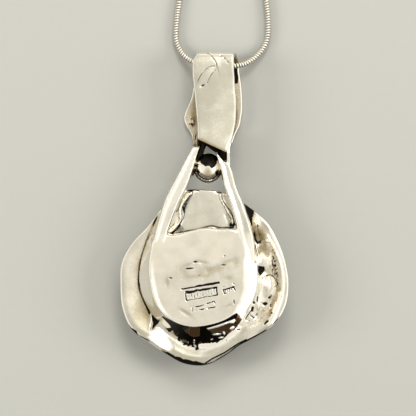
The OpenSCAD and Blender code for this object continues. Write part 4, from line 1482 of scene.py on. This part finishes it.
# Black gap on the leaf, right of the strip, which is painted shade, and the tan band along the strip's end
SHADED_GAP_BEHIND = ((((5.2, 41.5), (6.1, 41.3), (6.35, 39.5), (6.25, 38.4), (5.3, 38.2)), 0.25, 1.4),)
END_BAND = (
    (((-1.5, 27.9), (-0.5, 27.8), (0.4, 27.35), (2.5, 26.3), (3.9, 25.7), (4.4, 25.4), (4.2, 24.9),
      (-1.5, 27.3)), 0.3, 0.8),
)
# On the leaf: a drop of solder, the black spot beside it, and the brown place above them, which is painted
# shadow of the strip
LEAF_BLOB = ((-2.75, 31.0), (0.45, 0.6))
LEAF_SPOT = ((-2.1, 31.2), (0.16, 0.35))
LEAF_SHADOW_BROWN = ((-2.0, 32.2), (0.7, 1.9))
# Width of the strip's rounded, brighter edges
ROUNDED_EDGE = 0.55


def strip_marks(x, y):
    """Height of the strip's marks."""
    height = 0.09 * mound(x, y, *RAISED_LEAF)
    height = height - 0.05 * stroke(x, y, LEAF_UPPER, 0.10) - 0.05 * stroke(x, y, LEAF_LOWER, 0.10)
    fold = from_line(x, y, STRIP_FOLD)
    height = height + 0.14 * np.exp(-np.abs(fold) / 0.7) * ease(fold / 0.12 + 0.5) - 0.08 * bell(fold, 0.1)
    return height - 0.22 * spots(x, y, STRIP_PITS)


def strip_patina(x, y):
    """How black the strip's lines and pits are."""
    dark = stroke(x, y, LEAF_UPPER, 0.08) + stroke(x, y, LEAF_LOWER, 0.08) + stroke(x, y, STRIP_FOLD, 0.07)
    return dark * (0.9 + 0.6 * clouds_at(x, y, "strip lines")) + 1.1 * spots(x, y, STRIP_PITS)


def strip_section():
    """Rounded oblong: share of the flat half width, which face, and the corner's offsets, for each side."""
    rows = []
    for side in (1, -1):
        for k in range(STRIP_WIDE):
            rows.append((side * (1 - 2 * k / (STRIP_WIDE - 1)), side, 0.0, side))
        for k in range(1, 2 * STRIP_CORNER):
            turn = math.pi / 2 - k * math.pi / (2 * STRIP_CORNER)
            face = side if k < STRIP_CORNER else -side
            rows.append((-side, face, -side * math.cos(turn), side * math.sin(turn)))
    return np.array(rows, float).T


SECTION = strip_section()


def bail_point(u, v):
    sides = SECTION.shape[1]
    flat, face, cx, cy = SECTION[:, np.rint(u * sides).astype(int) % sides]
    last = len(BAIL) - 1
    place = open_share(v, BAIL_END) * last
    row = rows_at(BAIL, place)
    before = rows_at(BAIL, np.maximum(place - LOOK, 0))
    after = rows_at(BAIL, np.minimum(place + LOOK, last))
    way = (after - before)[:, (B_Y, B_Z)]
    way /= np.linalg.norm(way, axis=1)[:, None]
    out_y, out_z = way[:, 1], -way[:, 0]
    half = (row[:, B_RIGHT] - row[:, B_LEFT]) / 2
    middle = (row[:, B_RIGHT] + row[:, B_LEFT]) / 2
    thin = np.where((v < CLOSING) | (v > 1 - CLOSING), 0.0, 1.0)
    across = flat * (half - STRIP_ROUND) + cx * STRIP_ROUND
    off = face * (STRIP_T / 2 - STRIP_ROUND) + cy * STRIP_ROUND
    off = off * thin - row[:, B_CURL] * (across / half) ** 2
    x = middle + across
    y = row[:, B_Y] + row[:, B_SLANT] * across / half / 2 + out_y * off
    z = row[:, B_Z] + out_z * off
    return np.stack([x, y, z], axis=1)


def rim_distance(x, y, rows):
    """Distance of points from the left or right edge of some of the bail's rows, listed upwards."""
    rows = np.array(rows)
    left = np.interp(y, rows[:, B_Y], rows[:, B_LEFT])
    right = np.interp(y, rows[:, B_Y], rows[:, B_RIGHT])
    return np.minimum(x - left, right - x)


def make_bail():
    skin = grid_skin("silver_bail", SECTION.shape[1], BAIL_ROWS, bail_point)
    normals = skin.normals()
    x, y, z = skin.at.T.copy()
    flat = above(np.abs(normals[:, 2]), 0.8, 0.15)
    top = above(z, 4.0, 1.0) * np.clip(normals[:, 2] * 2, 0, 1)
    leaf = below(z, 3.0, 1.0)
    dents = 0.03 * clouds(skin.at, "bail dents")
    blob = 0.5 * mound(x, y, *LEAF_BLOB) * leaf * (normals[:, 2] > 0)
    skin.at += normals * ((strip_marks(x, y) * top + dents * flat)[:, None])
    edge = np.clip(rim_distance(x, y, BAIL[:FOLD_ROW:-1]) / ROUNDED_EDGE, 0, 1)
    skin.at[:, 2] += blob - 0.09 * (1 - edge) ** 2 * top
    leaf_satin = 0.38 - 0.3 * above(x, 4.8, 0.5)
    strip_satin = 1.0 - 0.25 * mound(x, y, *RAISED_LEAF)
    rim = above(rim_distance(x, y, BAIL[:LEAF_ROWS]), 0.12, 0.2)
    satin = flat * blend(leaf_satin, strip_satin, top) - blob
    satin = satin * blend(1.0, ease(edge * 1.3), top) * blend(1.0, rim, leaf)
    # The brown beside the strip is painted shadow, and the black gap right of the strip is painted shade.
    brown = 0.5 * mound(x, y, *LEAF_SHADOW_BROWN) + 0.6 * above(x, 5.0, 0.3) * above(y, 41.5, 0.8) + 0.48 * rim
    grime_and_shade = brown * leaf + patches(x, y, END_BAND) * top
    patina_and_shade = strip_patina(x, y) * top + mound(x, y, *LEAF_SPOT) * leaf + patches(x, y, SHADED_GAP_BEHIND) * leaf
    silver_piece("silver_bail", skin, satin=satin, grime_and_shade=grime_and_shade, patina_and_shade=patina_and_shade)


make_bail()


# Ball between the arms, painted black on the side towards the bail as painted reflection of the dark gap
# under the strip
BALL_AT = np.array((0.55, 22.2, 4.0))
BALL_R = 2.8
BALL_GRID = (120, 70)


def ball_point(u, v):
    a, b = u * 2 * np.pi, v * np.pi
    return BALL_AT + BALL_R * np.stack([np.sin(b) * np.cos(a), np.sin(b) * np.sin(a), np.cos(b)], axis=1)


# Marks on the ball, from its middle: the black cap and the tan middle are painted reflection, and the bright
# spots are painted highlights
BALL_CAP_REFLECTION = (
    (-1.5, 2.4), (-0.9, 2.85), (0.1, 2.9), (1.4, 2.8), (1.8, 2.1), (1.8, 1.2), (1.5, 0.5), (0.8, -0.1),
    (0.35, 0.3), (-0.35, 0.3), (-0.85, 0.7), (-1.45, 1.0), (-1.7, 1.7),
)
BALL_SIDE = (
    (-1.5, 1.2), (-2.4, 0.7), (-2.9, -0.3), (-2.5, -1.1), (-1.75, -1.3), (-1.2, -1.3), (-1.45, -0.6),
    (-1.85, 0.0),
)
BALL_TAN_REFLECTION = (
    ((0.1, -1.5), (1.5, 0.6), 0, 0.38), ((0.0, -0.75), (0.8, 0.7), 0, 0.70),
    ((2.2, 1.5), (0.35, 1.0), 20, 0.6), ((-1.0, 0.8), (0.6, 0.3), 0, 0.5),
)
BALL_HIGHLIGHTS = (
    ((-1.25, -0.2), (0.45, 0.40), 0, 1.0), ((1.1, -0.2), (0.30, 0.25), 0, 1.0),
    ((2.3, -0.4), (0.14, 0.7), 0, 1.0),
)
BALL_PIT = ((1.7, -0.9), (0.42, 0.55))
# Raised ring round the ball's lower side, and the two dark rings beside it: share of the radius, width
COLLAR = (0.86, 0.045)
OUTER_RING = (0.93, 0.045)
INNER_RING = (0.77, 0.035)


def ring(r, at, width):
    return bell(r - at, width)


def make_ball():
    skin = grid_skin("silver_ball", *BALL_GRID, ball_point)
    away = (skin.at - BALL_AT) / BALL_R
    collar = ring(np.hypot(away[:, 0], away[:, 1]), *COLLAR) * ease(-0.15 - away[:, 1]) * (away[:, 2] > 0)
    skin.at += (0.06 * clouds(skin.at, "ball dents") + 0.13 * collar)[:, None] * away
    x, y = skin.x - BALL_AT[0], skin.y - BALL_AT[1]
    r = np.hypot(x, y) / BALL_R
    mottled = np.clip(0.6 + 1.2 * clouds_at(x, y, "ball black"), 0, 1)
    dark = 1.3 * patch(x, y, BALL_CAP_REFLECTION, 0.2, 0.15 * clouds_at(x, y, "cap edge"))
    dark = dark + mottled * patch(x, y, BALL_SIDE, 0.4)
    rings = ring(r, *OUTER_RING) + 1.3 * ring(r, *INNER_RING) * (y < -0.9)
    dark = dark + 1.2 * mound(x, y, *BALL_PIT) + 1.1 * rings * (y < -0.4)
    bright = spots(x, y, BALL_HIGHLIGHTS)
    satin = 0.1 + 0.35 * below(y, -0.7, 0.6) - collar
    grime_and_shade = spots(x, y, BALL_TAN_REFLECTION) - bright - collar
    silver_piece("silver_ball", skin, satin=satin, grime_and_shade=grime_and_shade, patina_and_shade=dark - bright)


make_ball()


# Bezel round the stone: a closed section of offset from the stone's outline and height
BEZEL = (
    (0.10, 4.60), (0.10, 3.60), (0.10, 2.80), (0.02, 2.20), (-0.13, 1.82), (-0.04, 1.66), (0.14, 1.70),
    (0.42, 1.98), (0.64, 2.35), (0.78, 2.80), (0.80, 3.60), (0.80, 4.60),
)
STONE_HALF = (7.5, 10.0)
BEZEL_COLUMNS = 220
BEZEL_STEPS = 5
# The bezel's inside and its hidden upper part are black
BEZEL_INSIDE = 0.12


def oval_points(turn, half_x, half_y, z):
    """Points on ovals round the stone's middle."""
    x = STONE_CENTRE.x + half_x * np.cos(turn)
    y = STONE_CENTRE.y + half_y * np.sin(turn)
    return np.stack([x, y, z], axis=1)


def bezel_point(u, v):
    loop = np.array(BEZEL + BEZEL[:1])
    place = v * len(BEZEL)
    i = np.minimum(np.floor(place).astype(int), len(BEZEL) - 1)
    row = blend(loop[i], loop[i + 1], (place - i)[:, None])
    off = row[:, 0]
    return oval_points(u * 2 * np.pi, STONE_HALF[0] + off, STONE_HALF[1] + off, row[:, 1])


def make_bezel():
    skin = grid_skin("silver_bezel", BEZEL_COLUMNS, BEZEL_STEPS * len(BEZEL), bezel_point)
    skin.smooth(4)
    x, y, z = skin.at.T.copy()
    turn = np.arctan2(y - STONE_CENTRE.y, x)
    skin.at += skin.normals() * (0.03 * clouds(skin.at, "bezel dents") * (z < 3.5))[:, None]
    across = (x - STONE_CENTRE.x) / (STONE_HALF[0] + BEZEL_INSIDE)
    along_y = (y - STONE_CENTRE.y) / (STONE_HALF[1] + BEZEL_INSIDE)
    inside = np.hypot(across, along_y) < 1
    dark = 0.9 * inside * above(z, 1.8, 0.4) + 0.8 * above(z, 3.55, 0.3)
    silver_piece("silver_bezel", skin, satin=0.2 + 0.1 * np.cos(3 * turn), patina_and_shade=dark)


make_bezel()


# Cabochon, from its flat base to the top of its dome: share of its height, share of its width
DOME = (
    (1.00, 0.0), (1.00, 0.60), (1.00, 0.94), (0.985, 0.985), (0.94, 1.00), (0.72, 1.00), (0.52, 0.96),
    (0.34, 0.87), (0.19, 0.73), (0.08, 0.52), (0.02, 0.27), (0.0, 0.0),
)
STONE_BASE = 3.9
STONE_GRID = (160, 88)


def stone_point(u, v):
    height, wide = rows_at(DOME, v * (len(DOME) - 1)).T
    height, wide = np.clip(height, 0, 1), np.clip(wide, 0, 1)
    return oval_points(u * 2 * np.pi, STONE_HALF[0] * wide, STONE_HALF[1] * wide, STONE_BASE * height)


def make_stone():
    mesh = to_mesh(grid_shape(*STONE_GRID, stone_point), "turquoise_stone")
    finished("turquoise_stone", mesh, turquoise_material(), "turquoise_cabochon")


make_stone()


# Snake chain: a corrugated skin along the route of its middle line
ROUTE = (
    (-0.4, 222.0, 1.5), (-1.7, 222.0, 1.5), (-4.2, 221.4, 1.1), (-6.9, 218.8, 0.7), (-8.4, 214.4, 0.6),
    (-8.7, 208.0, 0.6), (-8.2, 188.0, 0.6), (-7.3, 164.0, 0.6), (-6.4, 140.0, 0.6), (-5.5, 116.0, 0.6),
    (-4.8, 92.0, 0.6), (-4.5, 72.0, 0.6), (-4.7, 57.0, 0.6), (-5.4, 50.6, 0.6), (-5.5, 46.8, 0.7),
    (-4.6, 44.5, 1.1), (-3.3, 43.1, 1.8), (-1.6, 42.2, 2.4), (0.4, 41.8, 2.5), (2.4, 41.7, 2.5),
    (4.4, 41.7, 2.4), (6.2, 41.8, 2.2), (7.8, 42.2, 1.7), (9.5, 43.3, 1.1), (11.1, 45.1, 0.7),
    (11.9, 47.3, 0.6), (12.0, 51.0, 0.6), (11.5, 57.0, 0.6), (11.3, 72.0, 0.6), (11.5, 92.0, 0.6),
    (12.1, 116.0, 0.6), (12.9, 140.0, 0.6), (13.9, 164.0, 0.6), (14.8, 188.0, 0.6), (15.2, 208.0, 0.6),
    (14.8, 214.4, 0.6), (13.1, 218.8, 0.7), (10.4, 221.4, 1.1), (7.9, 222.0, 1.5), (6.6, 222.0, 1.5),
)
CHAIN_D = 1.2
RING_PITCH = 0.5
RING_SIDES = 12
# Share of the chain's radius along one ring
RING_ROWS = (0.62, 0.92, 1.0, 0.92)
RING_SLANT = 0.12
RING_TURN = 0.5
# Gaps between the rings: how tan, how black on the upper and the lower side,
# and where in the gap each starts, as a share of the radius
# The tan and the black in the gaps are painted shade, blacker where the rings face -y.
GAP_SHADE_TAN = 0.8
GAP_SHADE_BLACK = (0.75, 1.6)
GAP_SHADE_TAN_FROM = (0.95, 0.15)
GAP_SHADE_BLACK_FROM = (0.90, 0.12)
# How finely the route is measured
ROUTE_STEPS = 8000


def chain_path():
    """Even stations along the route, one for each row of a ring, with the way the chain runs at each."""
    line = rows_at(ROUTE, np.linspace(0, len(ROUTE) - 1, ROUTE_STEPS))
    run = np.concatenate([[0], np.cumsum(np.linalg.norm(np.diff(line, axis=0), axis=1))])
    rows = int(run[-1] / RING_PITCH) * len(RING_ROWS)
    stations = np.linspace(0, run[-1], rows + 1)
    at = np.stack([np.interp(stations, run, line[:, k]) for k in range(3)], axis=1)
    way = np.gradient(at, axis=0)
    return rows, at, way / np.linalg.norm(way, axis=1)[:, None]


def make_chain():
    rows, at, way = chain_path()
    side = np.cross(way, (0, 0, 1))
    side /= np.linalg.norm(side, axis=1)[:, None]
    lift = np.cross(side, way)
    shares = np.array(RING_ROWS)

    def place(u, v):
        i = np.rint(v * rows).astype(int)
        turn = u * 2 * np.pi
        end = (i == 0) | (i == rows)
        r = CHAIN_D / 2 * np.where(end, 0.0, shares[i % len(RING_ROWS)])
        slide = RING_SLANT * np.cos(turn - RING_TURN) * np.where(end, 0, 1)
        ring_point = at[i] + (r * np.cos(turn))[:, None] * side[i] + (r * np.sin(turn))[:, None] * lift[i]
        return ring_point + slide[:, None] * way[i]

    skin = grid_skin("snake_chain_rings", RING_SIDES, rows, place)
    radius_share = nearest_share(skin.at, at)
    grime_and_shade = GAP_SHADE_TAN * below(radius_share, *GAP_SHADE_TAN_FROM)
    patina_and_shade = blend(*GAP_SHADE_BLACK, ease(0.4 - skin.normals()[:, 1])) * below(radius_share, *GAP_SHADE_BLACK_FROM)
    silver_piece("snake_chain_rings", skin, satin=0.1, grime_and_shade=grime_and_shade, patina_and_shade=patina_and_shade, node="snake_chain")


def nearest_share(points, line, steps=6):
    """Distance of points from a line of stations, as a share of the chain's radius."""
    guess = np.rint(np.interp(np.arange(len(points)), (0, len(points) - 1), (0, len(line) - 1))).astype(int)
    best = np.full(len(points), 1e9)
    for shift in range(-steps, steps + 1):
        i = np.clip(guess + shift, 0, len(line) - 2)
        along_line = line[i + 1] - line[i]
        away = points - line[i]
        t = np.clip(np.sum(away * along_line, axis=1) / np.sum(along_line ** 2, axis=1), 0, 1)
        best = np.minimum(best, np.linalg.norm(away - t[:, None] * along_line, axis=1))
    return best / (CHAIN_D / 2)


make_chain()


# Clasp: half of its outline from the socket's floor, over the collar and the barrel, to the middle seam
CLASP_MIDDLE = (3.1, 222.0, 1.5)
CLASP = (
    (3.3, 0.0), (3.3, 0.72), (4.42, 0.72), (4.5, 0.80), (4.46, 0.94), (4.3, 1.05), (3.95, 1.05),
    (3.86, 0.96), (3.77, 1.05), (3.1, 1.05), (2.95, 0.98), (2.86, 1.05), (2.6, 1.32), (2.35, 1.46),
    (2.1, 1.5), (1.2, 1.5), (1.12, 1.40), (1.04, 1.5), (0.9, 1.5), (0.82, 1.40), (0.74, 1.5),
    (0.12, 1.5), (0.04, 1.42), (0.0, 1.36),
)
CLASP_STEPS = 72
CLASP_SAME = 0.0005
# Blackened grooves of the barrel and of the collars: radius, distance from the middle seam
BARREL_GROOVE_R = 1.43
BARREL_GROOVE_TO = 1.3
COLLAR_GROOVE_R = 1.0
COLLAR_SPAN = (2.7, 4.2)


def make_clasp():
    bm = bmesh.new()
    outline = list(CLASP) + [(-x, r) for x, r in reversed(CLASP[:-1])]
    verts = [bm.verts.new((x, r, 0)) for x, r in outline]
    for a, b in zip(verts, verts[1:]):
        bm.edges.new((a, b))
    bmesh.ops.spin(bm, geom=bm.verts[:] + bm.edges[:], cent=(0, 0, 0), axis=(1, 0, 0), angle=2 * math.pi,
                   steps=CLASP_STEPS, use_merge=True)
    bmesh.ops.remove_doubles(bm, verts=bm.verts, dist=CLASP_SAME)
    bmesh.ops.recalc_face_normals(bm, faces=bm.faces)
    bmesh.ops.translate(bm, verts=bm.verts, vec=CLASP_MIDDLE)
    skin = Skin(to_mesh(bm, "clasp_barrel"))
    r = np.hypot(skin.y - CLASP_MIDDLE[1], skin.z - CLASP_MIDDLE[2])
    off = np.abs(skin.x - CLASP_MIDDLE[0])
    barrel_groove = (r < BARREL_GROOVE_R) & (off < BARREL_GROOVE_TO)
    collar_groove = (r < COLLAR_GROOVE_R) & (off > COLLAR_SPAN[0]) & (off < COLLAR_SPAN[1])
    patina_and_shade = 0.9 * (barrel_groove | collar_groove)
    silver_piece("clasp_barrel", skin, satin=0.1, patina_and_shade=patina_and_shade, node="barrel_clasp")


make_clasp()
